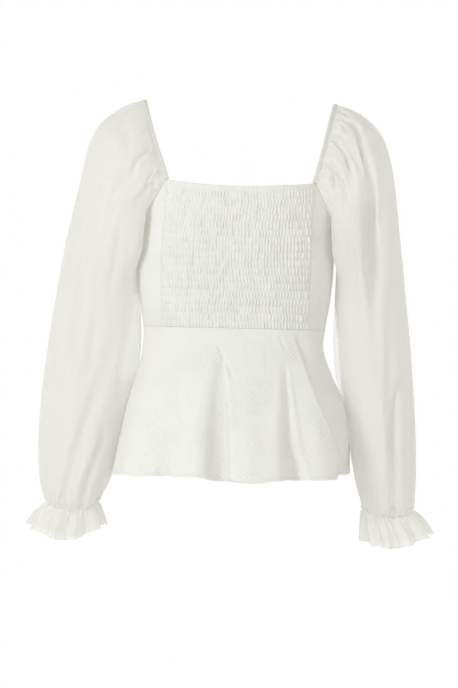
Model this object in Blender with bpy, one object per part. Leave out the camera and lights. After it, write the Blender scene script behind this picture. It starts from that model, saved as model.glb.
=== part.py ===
"""A peplum top, hollow as when it is worn.

It has a square-necked bodice with a shirred centre back, a short fluted peplum, and long sleeves
that are gathered into the neck binding and end in a wrist ruffle.

Lengths are metres. +Z is up, the back faces -Y, and the origin is midway between the shoulders.
"""

import math
import random
from collections import namedtuple

import bpy
import numpy as np

# Cloth
BODICE_CLOTH = 0.0016
SLEEVE_CLOTH = 0.0012
SEAM_GAP = 0.0003

# Heights of the seams and edges
BACK_NECK = -0.1195
BACK_NECK_DIP = 0.0105
FRONT_NECK = -0.1330
FRONT_NECK_DIP = 0.0040
UNDERARM = -0.1950
WAIST_SEAM = -0.3280
HEM = -0.5400

# Places across the body
BACK_CORNER = 0.1050
FRONT_CORNER = 0.1100
SHOULDER = 0.1385

SIDE = math.pi / 2
HALF_GAP_TURN = SEAM_GAP / 2 / SHOULDER

# Torso and peplum: sections that are a little squarer than an ellipse
SQUARENESS = 2.5
Section = namedtuple("Section", "height left_width right_width back_depth front_depth")
BODY = [
    Section(-0.1000, 0.1350, 0.1350, 0.1010, 0.1000),
    Section(-0.1300, 0.1380, 0.1380, 0.1070, 0.1120),
    Section(-0.1650, 0.1405, 0.1405, 0.1095, 0.1260),
    Section(-0.2000, 0.1410, 0.1410, 0.1080, 0.1330),
    Section(-0.2450, 0.1390, 0.1390, 0.1030, 0.1270),
    Section(-0.2900, 0.1350, 0.1340, 0.0970, 0.1120),
    Section(-0.3280, 0.1315, 0.1295, 0.0940, 0.1020),
    Section(-0.3550, 0.1320, 0.1295, 0.0955, 0.1010),
    Section(-0.3900, 0.1380, 0.1405, 0.1070, 0.1100),
    Section(-0.4350, 0.1500, 0.1600, 0.1240, 0.1250),
    Section(-0.4900, 0.1600, 0.1680, 0.1390, 0.1400),
    Section(-0.5450, 0.1690, 0.1680, 0.1500, 0.1520),
]

# Flutes of the peplum. Angles are degrees round the body from the centre back, + to the right.
# They lean from their place at the seam to their place at the hem. A valley has a minus rise.
# hem_drop is how much lower the hem hangs there.
Flute = namedtuple("Flute", "at_seam at_hem half_width rise hem_drop")
FLUTES = [
    Flute(-80, -80, 18, 0.0040, 0.0010),
    Flute(-56, -56, 15, 0.0055, -0.0010),
    Flute(-40, -36, 13, -0.0105, -0.0030),
    Flute(-24, -22, 11, 0.0050, -0.0030),
    Flute(-11, -9, 10, -0.0095, -0.0020),
    Flute(8, 8, 14, 0.0060, 0.0040),
    Flute(42, 30, 13, -0.0125, -0.0010),
    Flute(52, 51, 13, 0.0080, -0.0020),
    Flute(64, 70, 12, -0.0080, -0.0070),
    Flute(86, 90, 15, 0.0040, -0.0100),
    Flute(106, 107, 13, -0.0080, -0.0030),
    Flute(125, 126, 14, 0.0060, 0.0010),
    Flute(145, 146, 13, -0.0095, -0.0010),
    Flute(163, 164, 12, 0.0055, 0.0010),
    Flute(181, 180, 11, -0.0070, -0.0010),
    Flute(199, 198, 13, 0.0065, 0.0020),
    Flute(218, 217, 13, -0.0090, -0.0010),
    Flute(238, 237, 14, 0.0060, 0.0010),
    Flute(258, 257, 13, -0.0060, 0.0000),
]
FLUTE_START = 0.14
FLUTE_GROWTH = 1.1
HEM_SPREAD = 1.25

# Cells of the panels' surfaces
SIDE_COLUMNS = 5
SIDE_ROWS = 12
FRONT_COLUMNS = 24
FRONT_ROWS = 10
PEPLUM_ROWS = 7
PEPLUM_SPANS = [("peplum_back", -SIDE, SIDE, 44), ("peplum_front", SIDE, 3 * SIDE, 36)]
ARMHOLE_POINTS = 7
CURVE_STEPS = 24
SETTLING_STEPS = 12
NORMAL_STEP = 0.0005

# Shirring of the centre back
GATHERS = 32
ELASTIC_ROWS = 18
PUFF = 0.0024
PUFF_ON_ELASTIC = 0.0006
PUFF_WANDER = 0.0009
WANDER_TURN = 0.55
SMALLEST_PUFF = 0.45
SHIRRING_SEED = 7
INSIDE_COLUMNS = 8
INSIDE_ROWS = 6

# Sleeves: each row joins an outer and an inner edge point, for the right side. Where a hem hangs
# lower in the middle than at those two edges, it does so by sag.
Ring = namedtuple("Ring", "outer_x outer_z inner_x inner_z half_depth middle_y sag")
SLEEVE = [
    Ring(0.1385, 0.0000, 0.1420, -0.1950, 0.0900, 0.000, 0.0),
    Ring(0.1550, -0.0040, 0.1465, -0.1975, 0.0970, 0.000, 0.0),
    Ring(0.1770, -0.0155, 0.1475, -0.2040, 0.0995, 0.000, 0.0),
    Ring(0.1965, -0.0310, 0.1470, -0.2140, 0.0985, 0.000, 0.0),
    Ring(0.2110, -0.0520, 0.1460, -0.2260, 0.0955, 0.000, 0.0),
    Ring(0.2205, -0.0800, 0.1450, -0.2400, 0.0920, 0.001, 0.0),
    Ring(0.2275, -0.1180, 0.1440, -0.2570, 0.0880, 0.002, 0.0),
    Ring(0.2360, -0.1650, 0.1430, -0.2790, 0.0840, 0.004, 0.0),
    Ring(0.2450, -0.2170, 0.1420, -0.3070, 0.0800, 0.007, 0.0),
    Ring(0.2525, -0.2710, 0.1410, -0.3380, 0.0775, 0.010, 0.0),
    Ring(0.2605, -0.3270, 0.1430, -0.3730, 0.0760, 0.014, 0.0),
    Ring(0.2670, -0.3830, 0.1490, -0.4100, 0.0760, 0.017, 0.0),
    Ring(0.2720, -0.4360, 0.1570, -0.4480, 0.0750, 0.019, 0.0),
    Ring(0.2750, -0.4840, 0.1660, -0.4860, 0.0730, 0.020, 0.0),
    Ring(0.2755, -0.5240, 0.1740, -0.5220, 0.0680, 0.020, 0.0),
    Ring(0.2740, -0.5540, 0.1805, -0.5500, 0.0590, 0.020, 0.0),
    Ring(0.2710, -0.5740, 0.1880, -0.5710, 0.0470, 0.020, 0.0),
    Ring(0.2670, -0.5860, 0.1930, -0.5850, 0.0320, 0.020, 0.0),
]
AROUND_SLEEVE = 36
LOOP_SHIFT = 0.8 * SEAM_GAP
STRAP_STEPS = 11
HEAD_GATHER = 0.0022
HEAD_GATHER_PEAK = 2
HEAD_GATHER_RINGS = 6
HEAD_BLEND_RINGS = 5
WRIST_GATHER = 0.0018
WRIST_GATHER_RINGS = 4
SLEEVE_CLEAR = 0.0035
CLEAR_STEP = 0.0012
OUTER_SWAY = {"L": 0.0070, "R": -0.0070}
INNER_SWAY = {"L": -0.0080, "R": -0.0010}
SWAY_LEAN = 2.0

# Sleeve folds. Angles are degrees round the sleeve from its outer edge towards the front.
Fold = namedtuple("Fold", "side first_ring last_ring first_angle last_angle half_width depth")
SLEEVE_FOLDS = [
    Fold("R", 1, 10, 290, 272, 15, 0.0085),
    Fold("R", 4, 10, 248, 244, 12, 0.0050),
    Fold("R", 9, 17, 300, 262, 15, 0.0075),
    Fold("R", 10, 17, 335, 318, 14, 0.0050),
    Fold("R", 3, 11, 62, 84, 15, 0.0070),
    Fold("R", 9, 17, 110, 88, 15, 0.0070),
    Fold("L", 1, 8, 262, 276, 15, 0.0070),
    Fold("L", 5, 12, 300, 296, 14, 0.0045),
    Fold("L", 10, 17, 246, 288, 15, 0.0080),
    Fold("L", 11, 17, 322, 330, 14, 0.0050),
    Fold("L", 3, 11, 92, 70, 15, 0.0070),
    Fold("L", 9, 17, 64, 96, 15, 0.0065),
]

FOLD_TIP = 0.08

# Wrist ruffle. Its inner edge tucks in by a little more at each row down.
RUFFLE_WAVES = 10
POINTS_PER_WAVE = 4
RUFFLE = [
    Ring(0.2665, -0.5865, 0.1930, -0.5855, 0.0315, 0.020, 0.000),
    Ring(0.2770, -0.5970, 0.1900, -0.5990, 0.0370, 0.020, 0.004),
    Ring(0.2855, -0.6080, 0.1865, -0.6130, 0.0430, 0.020, 0.009),
    Ring(0.2905, -0.6190, 0.1840, -0.6260, 0.0480, 0.020, 0.015),
]
RUFFLE_SWELL = [0.0012, 0.0038, 0.0056, 0.0068]
RUFFLE_TUCK = {"L": 0.0, "R": 0.0017}
RUFFLE_SEED = {"L": 12, "R": 11}
WAVE_SIZES = (0.7, 1.25)
WAVE_SLIDE = 0.25

# Neck binding over the shoulders. The edge runs from the shoulder top to a neck corner, by these
# shares of the way across, back and down.
Step = namedtuple("Step", "lean reach drop")
NECK_EDGE = [
    Step(0.00, 0.00, 0.00),
    Step(0.10, 0.36, 0.10),
    Step(0.32, 0.72, 0.34),
    Step(0.64, 0.97, 0.66),
    Step(1.00, 1.00, 1.00),
]
STRAP_WIDTH = 0.0036
STRAP_THICKNESS = 0.0022

OFF_WHITE = (0.84, 0.83, 0.78, 1.0)
SHEER_WHITE = (0.87, 0.86, 0.82, 1.0)


def clear_scene():
    for thing in list(bpy.data.objects):
        bpy.data.objects.remove(thing, do_unlink=True)


def cloth_material(name, colour, roughness):
    material = bpy.data.materials.new(name)
    material.use_nodes = True
    shader = material.node_tree.nodes["Principled BSDF"]
    shader.inputs["Base Color"].default_value = colour
    shader.inputs["Roughness"].default_value = roughness
    shader.inputs["Metallic"].default_value = 0.0
    return material


def along_rows(rows, column, place):
    """Read one column of a table at a height, on a smooth curve through its rows."""
    heights = [row.height for row in rows]
    values = [getattr(row, column) for row in rows]
    last = len(rows) - 2
    i = 0
    while i < last and place < heights[i + 1]:
        i += 1
    step = heights[i + 1] - heights[i]
    t = min(max((place - heights[i]) / step, 0.0), 1.0)
    before = values[max(i - 1, 0)]
    after = values[min(i + 2, last + 1)]
    slope_in = (values[i + 1] - before) / 2 if i > 0 else values[1] - values[0]
    slope_out = (after - values[i]) / 2 if i < last else values[i + 1] - values[i]
    return (
        values[i] * (2 * t**3 - 3 * t**2 + 1)
        + slope_in * (t**3 - 2 * t**2 + t)
        + values[i + 1] * (3 * t**2 - 2 * t**3)
        + slope_out * (t**3 - t**2)
    )


def bump(distance, half_width):
    """1 at the middle of a fold, 0 from its half width on."""
    if abs(distance) >= half_width:
        return 0.0
    return 0.5 + 0.5 * math.cos(math.pi * distance / half_width)


def turn_between(angle, other):
    return (angle - other + 180.0) % 360.0 - 180.0


def flute_rise(angle, height):
    """How far the peplum stands out of its plain cone, at an angle in degrees."""
    fall = (WAIST_SEAM - height) / (WAIST_SEAM - HEM)
    if fall <= 0.0:
        return 0.0
    swell = (max(fall - FLUTE_START, 0.0) / (1.0 - FLUTE_START)) ** FLUTE_GROWTH
    total = 0.0
    for flute in FLUTES:
        middle = flute.at_seam + (flute.at_hem - flute.at_seam) * fall
        total += flute.rise * bump(turn_between(angle, middle), flute.half_width)
    return total * swell


def hem_height(turn):
    angle = math.degrees(turn)
    drop = 0.0
    for flute in FLUTES:
        drop += flute.hem_drop * bump(turn_between(angle, flute.at_hem), flute.half_width * HEM_SPREAD)
    return HEM - drop


def body_radius(turn, height):
    """Distance from the body's axis at a turn in radians from the centre back."""
    width = along_rows(BODY, "right_width" if math.sin(turn) >= 0.0 else "left_width", height)
    column = "back_depth" if math.cos(turn) >= 0.0 else "front_depth"
    depth = along_rows(BODY, column, height)
    across = abs(math.sin(turn) / width) ** SQUARENESS
    through = abs(math.cos(turn) / depth) ** SQUARENESS
    return (across + through) ** (-1.0 / SQUARENESS) + flute_rise(math.degrees(turn), height)


def body_point(turn, height):
    radius = body_radius(turn, height)
    return np.array([radius * math.sin(turn), -radius * math.cos(turn), height])


def body_normal(turn, height):
    across = body_point(turn + NORMAL_STEP, height) - body_point(turn - NORMAL_STEP, height)
    down = body_point(turn, height - NORMAL_STEP) - body_point(turn, height + NORMAL_STEP)
    normal = np.cross(down, across)
    return normal / np.linalg.norm(normal)


def turn_at(x, height, front=False):
    """The turn at which the body's section has this x, on its back or its front."""
    width = along_rows(BODY, "right_width" if x >= 0.0 else "left_width", height)
    depth = along_rows(BODY, "front_depth" if front else "back_depth", height)
    share = max(1.0 - abs(x / width) ** SQUARENESS, 0.0) ** (1.0 / SQUARENESS)
    return math.atan2(x, (-depth if front else depth) * share)


def armhole_height(turn):
    """Height of the armhole seam at a turn between the back and the front neck corner."""
    back = turn_at(BACK_CORNER, BACK_NECK)
    front = turn_at(FRONT_CORNER, FRONT_NECK, front=True)
    if turn <= SIDE:
        share = min(max((turn - back) / (SIDE - back), 0.0), 1.0)
        top = BACK_NECK
    else:
        share = min(max((front - turn) / (front - SIDE), 0.0), 1.0)
        top = FRONT_NECK
    return top + (UNDERARM - top) * math.sin(share * math.pi / 2)


def quads_of(index, round_):
    """Corner numbers of a grid's cells, in the order that faces outwards."""
    rows, columns = index.shape
    cells = []
    for r in range(rows - 1):
        for c in range(columns if round_ else columns - 1):
            n = (c + 1) % columns
            cells.append((index[r, c], index[r + 1, c], index[r + 1, n], index[r, n]))
    return cells


def wall_object(name, outer, inner, round_, material):
    """One closed wall between two grids of the same size; round grids join their ends."""
    rows, columns, _ = outer.shape
    out = np.arange(rows * columns).reshape(rows, columns)
    inn = out + rows * columns
    faces = quads_of(out, round_)
    faces += [tuple(reversed(cell)) for cell in quads_of(inn, round_)]
    for c in range(columns if round_ else columns - 1):
        n = (c + 1) % columns
        faces.append((out[0, c], out[0, n], inn[0, n], inn[0, c]))
        faces.append((out[-1, n], out[-1, c], inn[-1, c], inn[-1, n]))
    if not round_:
        for r in range(rows - 1):
            faces.append((out[r + 1, 0], out[r, 0], inn[r, 0], inn[r + 1, 0]))
            faces.append((out[r, -1], out[r + 1, -1], inn[r + 1, -1], inn[r, -1]))
    points = np.concatenate([outer.reshape(-1, 3), inner.reshape(-1, 3)])
    return mesh_object(name, points, faces, material)


def mesh_object(name, points, faces, material):
    mesh = bpy.data.meshes.new(name)
    mesh.from_pydata([tuple(map(float, p)) for p in points], [], [tuple(map(int, f)) for f in faces])
    mesh.validate()
    mesh.shade_smooth()
    mesh.materials.append(material)
    thing = bpy.data.objects.new(name, mesh)
    bpy.context.scene.collection.objects.link(thing)
    return thing


def body_panel(name, start, end, top, bottom, columns, rows, material):
    """A wall on the body between two side lines and two edges.

    start and end give the turn of a side line at a height; top and bottom give the height of an
    edge at a turn.
    """
    outer = np.zeros((rows + 1, columns + 1, 3))
    inner = np.zeros((rows + 1, columns + 1, 3))
    for c in range(columns + 1):
        share = c / columns
        high = top_at(start, end, top, share)
        low = top_at(start, end, bottom, share)
        for r in range(rows + 1):
            height = high + (low - high) * r / rows
            turn = start(height) + (end(height) - start(height)) * share
            outer[r, c] = body_point(turn, height)
            inner[r, c] = outer[r, c] - BODICE_CLOTH * body_normal(turn, height)
    return wall_object(name, outer, inner, False, material)


def top_at(start, end, edge, share):
    """Height of an edge at a share of the panel's width, whose side lines move with the height."""
    height = edge(start(WAIST_SEAM))
    for _ in range(SETTLING_STEPS):
        height = edge(start(height) + (end(height) - start(height)) * share)
    return height


def back_neck(turn):
    reach = turn_at(BACK_CORNER, BACK_NECK)
    share = min(abs(turn) / reach, 1.0)
    return BACK_NECK - BACK_NECK_DIP * (1.0 - share**2) - SEAM_GAP


def front_neck(turn):
    reach = math.pi - turn_at(FRONT_CORNER, FRONT_NECK, front=True)
    share = min(abs(math.pi - turn) / reach, 1.0)
    return FRONT_NECK - FRONT_NECK_DIP * (1.0 - share**2) - SEAM_GAP


def waist_top(_turn):
    return WAIST_SEAM + SEAM_GAP / 2


def build_back_panel(material):
    """The shirred centre back: gathers and elastic rows stand out over a plain inside."""
    draw = random.Random(SHIRRING_SEED)
    columns = GATHERS * 2
    rows = ELASTIC_ROWS * 2
    edge = BACK_CORNER - SEAM_GAP / 2
    swell = [[draw.uniform(SMALLEST_PUFF, 1.0) for _ in range(columns + 1)] for _ in range(rows + 1)]
    drift = [draw.uniform(0.0, 2.0 * math.pi) for _ in range(rows + 1)]
    outer = np.zeros((rows + 1, columns + 1, 3))
    for c in range(columns + 1):
        share = 2.0 * c / columns - 1.0
        high = back_neck(turn_at(share * edge, BACK_NECK))
        for r in range(rows + 1):
            height = high + (waist_top(0.0) - high) * r / rows
            inside = 0 < c < columns and 0 < r < rows
            wander = PUFF_WANDER * math.sin(drift[r] + WANDER_TURN * c) if inside else 0.0
            turn = turn_at(share * edge + wander, height)
            rise = PUFF if r % 2 else PUFF_ON_ELASTIC
            on_fold = inside and c % 2 == 1
            outer[r, c] = body_point(turn, height)
            outer[r, c] += body_normal(turn, height) * (rise * swell[r][c] if on_fold else 0.0)
    inner = np.zeros((INSIDE_ROWS + 1, INSIDE_COLUMNS + 1, 3))
    for c in range(INSIDE_COLUMNS + 1):
        share = 2.0 * c / INSIDE_COLUMNS - 1.0
        high = back_neck(turn_at(share * edge, BACK_NECK))
        for r in range(INSIDE_ROWS + 1):
            height = high + (waist_top(0.0) - high) * r / INSIDE_ROWS
            turn = turn_at(share * edge, height)
            inner[r, c] = body_point(turn, height) - BODICE_CLOTH * body_normal(turn, height)
    return bridged_wall("back_panel", outer, inner, material)


def bridged_wall(name, outer, inner, material):
    """A closed wall whose inside grid is coarser than its outside by a whole number each way."""
    out = np.arange(outer.shape[0] * outer.shape[1]).reshape(outer.shape[:2])
    inn = np.arange(inner.shape[0] * inner.shape[1]).reshape(inner.shape[:2]) + out.size
    faces = quads_of(out, False)
    faces += [tuple(reversed(cell)) for cell in quads_of(inn, False)]
    across = (out.shape[1] - 1) // (inn.shape[1] - 1)
    down = (out.shape[0] - 1) // (inn.shape[0] - 1)
    sides = [
        ([out[0, c] for c in range(out.shape[1])], [inn[0, c] for c in range(inn.shape[1])], across),
        ([out[r, -1] for r in range(out.shape[0])], [inn[r, -1] for r in range(inn.shape[0])], down),
        (list(out[-1, ::-1]), list(inn[-1, ::-1]), across),
        (list(out[::-1, 0]), list(inn[::-1, 0]), down),
    ]
    for fine, coarse, ratio in sides:
        for k in range(len(coarse) - 1):
            half = ratio // 2
            first = k * ratio
            for j in range(ratio):
                near = coarse[k] if j < half else coarse[k + 1]
                faces.append((fine[first + j], fine[first + j + 1], near))
            faces.append((fine[first + half], coarse[k + 1], coarse[k]))
    points = np.concatenate([outer.reshape(-1, 3), inner.reshape(-1, 3)])
    return mesh_object(name, points, faces, material)


def build_side_backs(material):
    for side, name in ((1, "side_back_R"), (-1, "side_back_L")):
        def seam(height):
            return turn_at(BACK_CORNER + SEAM_GAP / 2, height)

        def side_seam(_height):
            return SIDE - HALF_GAP_TURN

        def top(turn):
            return armhole_height(turn) - SEAM_GAP

        side_panel(name, side, seam, side_seam, top, material)


def side_panel(name, side, start, end, top, material):
    """A side back given for the right side, or turned over for the left."""
    if side > 0:
        body_panel(name, start, end, top, waist_top, SIDE_COLUMNS, SIDE_ROWS, material)
        return

    def left_start(height):
        return -end(height)

    def left_end(height):
        return -start(height)

    def left_top(turn):
        return top(-turn)

    body_panel(name, left_start, left_end, left_top, waist_top, SIDE_COLUMNS, SIDE_ROWS, material)


def build_front_bodice(material):
    corner = turn_at(FRONT_CORNER, FRONT_NECK, front=True)

    def start(_height):
        return SIDE + HALF_GAP_TURN

    def end(_height):
        return 3 * SIDE - HALF_GAP_TURN

    def top(turn):
        from_front = turn if turn <= math.pi else 2 * math.pi - turn
        if from_front < corner:
            return armhole_height(from_front) - SEAM_GAP
        return front_neck(from_front)

    body_panel("front_bodice", start, end, top, waist_top, FRONT_COLUMNS, FRONT_ROWS, material)


def build_peplum(material):
    def top(_turn):
        return WAIST_SEAM - SEAM_GAP / 2

    for name, first, last, columns in PEPLUM_SPANS:
        def start(_height, first=first):
            return first + HALF_GAP_TURN

        def end(_height, last=last):
            return last - HALF_GAP_TURN

        body_panel(name, start, end, top, hem_height, columns, PEPLUM_ROWS, material)


def smooth_line(points, count):
    """Points at even spacing on a smooth curve through the given points."""
    points = np.array(points, dtype=float)
    padded = np.concatenate([[2 * points[0] - points[1]], points, [2 * points[-1] - points[-2]]])
    dense = []
    for i in range(1, len(padded) - 2):
        for t in np.linspace(0.0, 1.0, CURVE_STEPS, endpoint=False):
            before, a, b, after = padded[i - 1 : i + 3]
            dense.append(
                0.5 * (2 * a + (b - before) * t + (2 * before - 5 * a + 4 * b - after) * t**2
                       + (3 * a - before - 3 * b + after) * t**3)
            )
    dense.append(points[-1])
    dense = np.array(dense)
    walked = np.concatenate([[0.0], np.cumsum(np.linalg.norm(np.diff(dense, axis=0), axis=1))])
    places = np.linspace(0.0, walked[-1], count)
    return np.stack([np.interp(places, walked, dense[:, k]) for k in range(3)], axis=1)


def neck_edge(front):
    """The neck edge from the shoulder down to a neck corner, for the right side."""
    if front:
        corner = body_point(turn_at(FRONT_CORNER, FRONT_NECK, front=True), FRONT_NECK)
        sign = 1.0
    else:
        corner = body_point(turn_at(BACK_CORNER, BACK_NECK), BACK_NECK)
        sign = -1.0
    drop = corner[2]
    reach = abs(corner[1])
    lean = SHOULDER - corner[0]
    return [
        np.array([SHOULDER - step.lean * lean, sign * step.reach * reach, step.drop * drop])
        for step in NECK_EDGE
    ]


def armhole_line(front):
    """The armhole seam from a neck corner down to the underarm, for the right side."""
    if front:
        corner = turn_at(FRONT_CORNER, FRONT_NECK, front=True)
    else:
        corner = turn_at(BACK_CORNER, BACK_NECK)
    turns = np.linspace(corner, SIDE, ARMHOLE_POINTS)
    return [body_point(turn, armhole_height(turn)) for turn in turns]


def sleeve_opening():
    """The loop that the sleeve is sewn to: shoulder, front, underarm, back."""
    under_steps = AROUND_SLEEVE // 2 - STRAP_STEPS
    front = smooth_line(neck_edge(True), STRAP_STEPS + 1)
    front_hole = smooth_line(armhole_line(True), under_steps + 1)
    back = smooth_line(neck_edge(False), STRAP_STEPS + 1)
    back_hole = smooth_line(armhole_line(False), under_steps + 1)
    return np.concatenate([front[:-1], front_hole[:-1], back_hole[::-1][:-1], back[::-1][:-1]])


def ring_point(ring, angle):
    """A point of a sleeve section, at an angle in degrees from its outer edge to the front."""
    turn = math.radians(angle)
    outer = np.array([ring.outer_x, ring.middle_y, ring.outer_z])
    inner = np.array([ring.inner_x, ring.middle_y, ring.inner_z])
    point = (outer + inner) / 2 + (outer - inner) / 2 * math.cos(turn)
    return point + np.array([0.0, ring.half_depth * math.sin(turn), -ring.sag * math.sin(turn) ** 2])


def clear_of_body(point, side, gap):
    """Moves a point of a sleeve, drawn for the right side, out until it clears the body by a gap."""
    if point[2] > BACK_NECK:
        return point
    turn = math.atan2(point[0], -point[1]) * (1.0 if side == "R" else -1.0)
    wanted = body_radius(turn, point[2]) + gap
    radius = math.hypot(point[0], point[1])
    if radius >= wanted:
        return point
    return np.array([point[0] * wanted / radius, point[1] * wanted / radius, point[2]])


def fold_depth(side, ring, angle):
    total = 0.0
    for fold in SLEEVE_FOLDS:
        if fold.side != side or not fold.first_ring <= ring <= fold.last_ring:
            continue
        share = (ring - fold.first_ring) / (fold.last_ring - fold.first_ring)
        middle = fold.first_angle + (fold.last_angle - fold.first_angle) * share
        length = math.sin(math.pi * min(max(share, FOLD_TIP), 1.0 - FOLD_TIP))
        total += fold.depth * length * bump(turn_between(angle, middle), fold.half_width)
    return total


def ring_normals(grid):
    """Outward normals of a round grid, from its neighbours."""
    across = np.roll(grid, -1, axis=1) - np.roll(grid, 1, axis=1)
    down = np.gradient(grid, axis=0)
    normals = np.cross(down, across)
    return normals / np.linalg.norm(normals, axis=2, keepdims=True)


def swayed(ring, side, share):
    """A ring of one side, whose edges hang a little further out or in."""
    sway = math.sin(math.pi * share**SWAY_LEAN)
    outer_x = ring.outer_x + OUTER_SWAY[side] * sway
    return ring._replace(outer_x=outer_x, inner_x=ring.inner_x + INNER_SWAY[side] * sway)


def handed(grid, side):
    """The grid as it is for the right side, and mirrored for the left."""
    if side == "R":
        return grid
    return grid[:, ::-1] * np.array([-1.0, 1.0, 1.0])


def head_normals(normals):
    """The first ring's outward directions, which follow the strap where the sleeve joins it."""
    _, out = strap_directions(strap_line())
    turned = normals.copy()
    for i in range(STRAP_STEPS + 1):
        turned[i] = out[STRAP_STEPS + i]
        turned[-i] = out[STRAP_STEPS - i]
    return turned


def build_sleeve(side, material):
    loop = sleeve_opening() + np.array([LOOP_SHIFT, 0.0, LOOP_SHIFT])
    last = len(SLEEVE) - 1
    grid = np.zeros((len(SLEEVE), AROUND_SLEEVE, 3))
    for k, row in enumerate(SLEEVE):
        ring = swayed(row, side, k / last)
        blend = min(k / HEAD_BLEND_RINGS, 1.0)
        blend = blend * (2.0 - blend)
        for i in range(AROUND_SLEEVE):
            angle = 360.0 * i / AROUND_SLEEVE
            grid[k, i] = ring_point(ring, angle) * blend + loop[i] * (1.0 - blend)
            if 0 < k < HEAD_BLEND_RINGS:
                grid[k, i] += (ring_point(ring, angle) - ring_point(SLEEVE[0], angle)) * (1.0 - blend)
    normals = ring_normals(grid)
    for k in range(1, len(SLEEVE)):
        head = HEAD_GATHER * bump(k - HEAD_GATHER_PEAK, HEAD_GATHER_RINGS)
        wrist = WRIST_GATHER * bump(last - 1 - k, WRIST_GATHER_RINGS)
        for i in range(AROUND_SLEEVE):
            angle = 360.0 * i / AROUND_SLEEVE
            wave = 1.0 if i % 2 else -1.0
            shift = (head + wrist) * wave - fold_depth(side, k, angle)
            grid[k, i] += normals[k, i] * shift
            grid[k, i] = clear_of_body(grid[k, i], side, min(k * CLEAR_STEP + SEAM_GAP, SLEEVE_CLEAR))
    normals = ring_normals(grid)
    normals[0] = head_normals(normals[0])
    inner = grid - normals * SLEEVE_CLOTH
    wall_object("sleeve_" + side, handed(grid, side), handed(inner, side), True, material)


def build_ruffle(side, material):
    count = RUFFLE_WAVES * POINTS_PER_WAVE
    grid = np.zeros((len(RUFFLE), count, 3))
    draw = random.Random(RUFFLE_SEED[side])
    size = [draw.uniform(*WAVE_SIZES) for _ in range(RUFFLE_WAVES)]
    slide = [draw.uniform(-WAVE_SLIDE, WAVE_SLIDE) for _ in range(RUFFLE_WAVES)]
    for k, plain_row in enumerate(RUFFLE):
        row = plain_row._replace(inner_x=plain_row.inner_x + RUFFLE_TUCK[side] * k)
        for i in range(count):
            wave = i // POINTS_PER_WAVE
            part = (i % POINTS_PER_WAVE) / POINTS_PER_WAVE
            angle = 360.0 * i / count
            middle = ring_point(row, 0) / 2 + ring_point(row, 180) / 2
            place = ring_point(row, angle + slide[wave] * 360.0 / count * k)
            out = (place - middle) / np.linalg.norm(place - middle)
            swell = RUFFLE_SWELL[k] * size[wave] * math.cos(2 * math.pi * part)
            grid[k, i] = place + out * swell - np.array([0.0, 0.0, SEAM_GAP])
    inner = grid - ring_normals(grid) * SLEEVE_CLOTH
    wall_object("cuff_ruffle_" + side, handed(grid, side), handed(inner, side), True, material)


def strap_line():
    """The neck edge from the back corner over the shoulder to the front corner, right side."""
    back = smooth_line(neck_edge(False), STRAP_STEPS + 1)
    front = smooth_line(neck_edge(True), STRAP_STEPS + 1)
    return np.concatenate([back[::-1], front[1:]])


def strap_directions(line):
    """Unit vectors along the strap's line: towards the neck, and out of the shoulder."""
    tangents = np.gradient(line, axis=0)
    tangents /= np.linalg.norm(tangents, axis=1, keepdims=True)
    to_neck = np.array([-1.0, 0.0, 0.0]) + tangents * tangents[:, :1]
    to_neck /= np.linalg.norm(to_neck, axis=1, keepdims=True)
    return to_neck, np.cross(tangents, to_neck)


def build_strap(side, material):
    line = strap_line()
    to_neck, out = strap_directions(line)
    near = SEAM_GAP / 2
    far = near + STRAP_WIDTH
    high = STRAP_THICKNESS / 4
    low = high - STRAP_THICKNESS
    corners = [(near, high), (near, low), (far, low), (far, high)]
    grid = np.stack([line + to_neck * width + out * rise for width, rise in corners], axis=1)
    if side == "L":
        grid = grid[:, ::-1] * np.array([-1.0, 1.0, 1.0])
    index = np.arange(grid.shape[0] * 4).reshape(-1, 4)
    faces = [tuple(reversed(cell)) for cell in quads_of(index, True)]
    faces.append(tuple(index[0, ::-1]))
    faces.append(tuple(index[-1]))
    mesh_object("strap_" + side, grid.reshape(-1, 3), faces, material)


def main():
    clear_scene()
    cotton = cloth_material("dobby_cotton", OFF_WHITE, 0.85)
    chiffon = cloth_material("sheer_chiffon", SHEER_WHITE, 0.75)
    build_back_panel(cotton)
    build_side_backs(cotton)
    build_front_bodice(cotton)
    build_peplum(cotton)
    for side in ("L", "R"):
        build_sleeve(side, chiffon)
        build_ruffle(side, chiffon)
        build_strap(side, cotton)


main()
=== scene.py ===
# %% [markdown]
# # A peplum top with a shirred back
#
# The top is off-white and filled out as when it is worn. Its bodice is cotton with a small woven
# square, its centre back is shirred on rows of elastic, and its long sleeves are sheer chiffon.
#
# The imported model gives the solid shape. Each cell below makes one piece of thin cloth on its
# solid's form. Lengths are metres, +Z is up, the back of the top faces -Y, and the origin is
# midway between the shoulders.

# %% Load the solid model
import math
import random
from collections import namedtuple

import bpy
import numpy as np
from mathutils import Matrix, Vector


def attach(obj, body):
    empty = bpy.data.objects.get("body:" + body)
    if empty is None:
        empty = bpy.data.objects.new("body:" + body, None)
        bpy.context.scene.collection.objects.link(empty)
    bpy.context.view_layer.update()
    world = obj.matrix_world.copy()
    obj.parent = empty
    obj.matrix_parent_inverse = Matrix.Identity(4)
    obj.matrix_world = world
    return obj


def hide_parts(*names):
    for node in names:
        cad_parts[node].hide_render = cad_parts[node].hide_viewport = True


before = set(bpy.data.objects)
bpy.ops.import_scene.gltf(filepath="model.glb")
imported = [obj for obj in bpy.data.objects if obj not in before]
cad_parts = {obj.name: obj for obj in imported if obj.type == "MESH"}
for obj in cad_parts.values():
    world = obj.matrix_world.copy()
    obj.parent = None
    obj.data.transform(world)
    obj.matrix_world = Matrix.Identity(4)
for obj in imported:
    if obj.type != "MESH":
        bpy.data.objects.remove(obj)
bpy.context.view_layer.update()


def stand(name, data):
    """A new object in the scene with this data."""
    thing = bpy.data.objects.new(name, data)
    bpy.context.scene.collection.objects.link(thing)
    return thing


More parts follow.
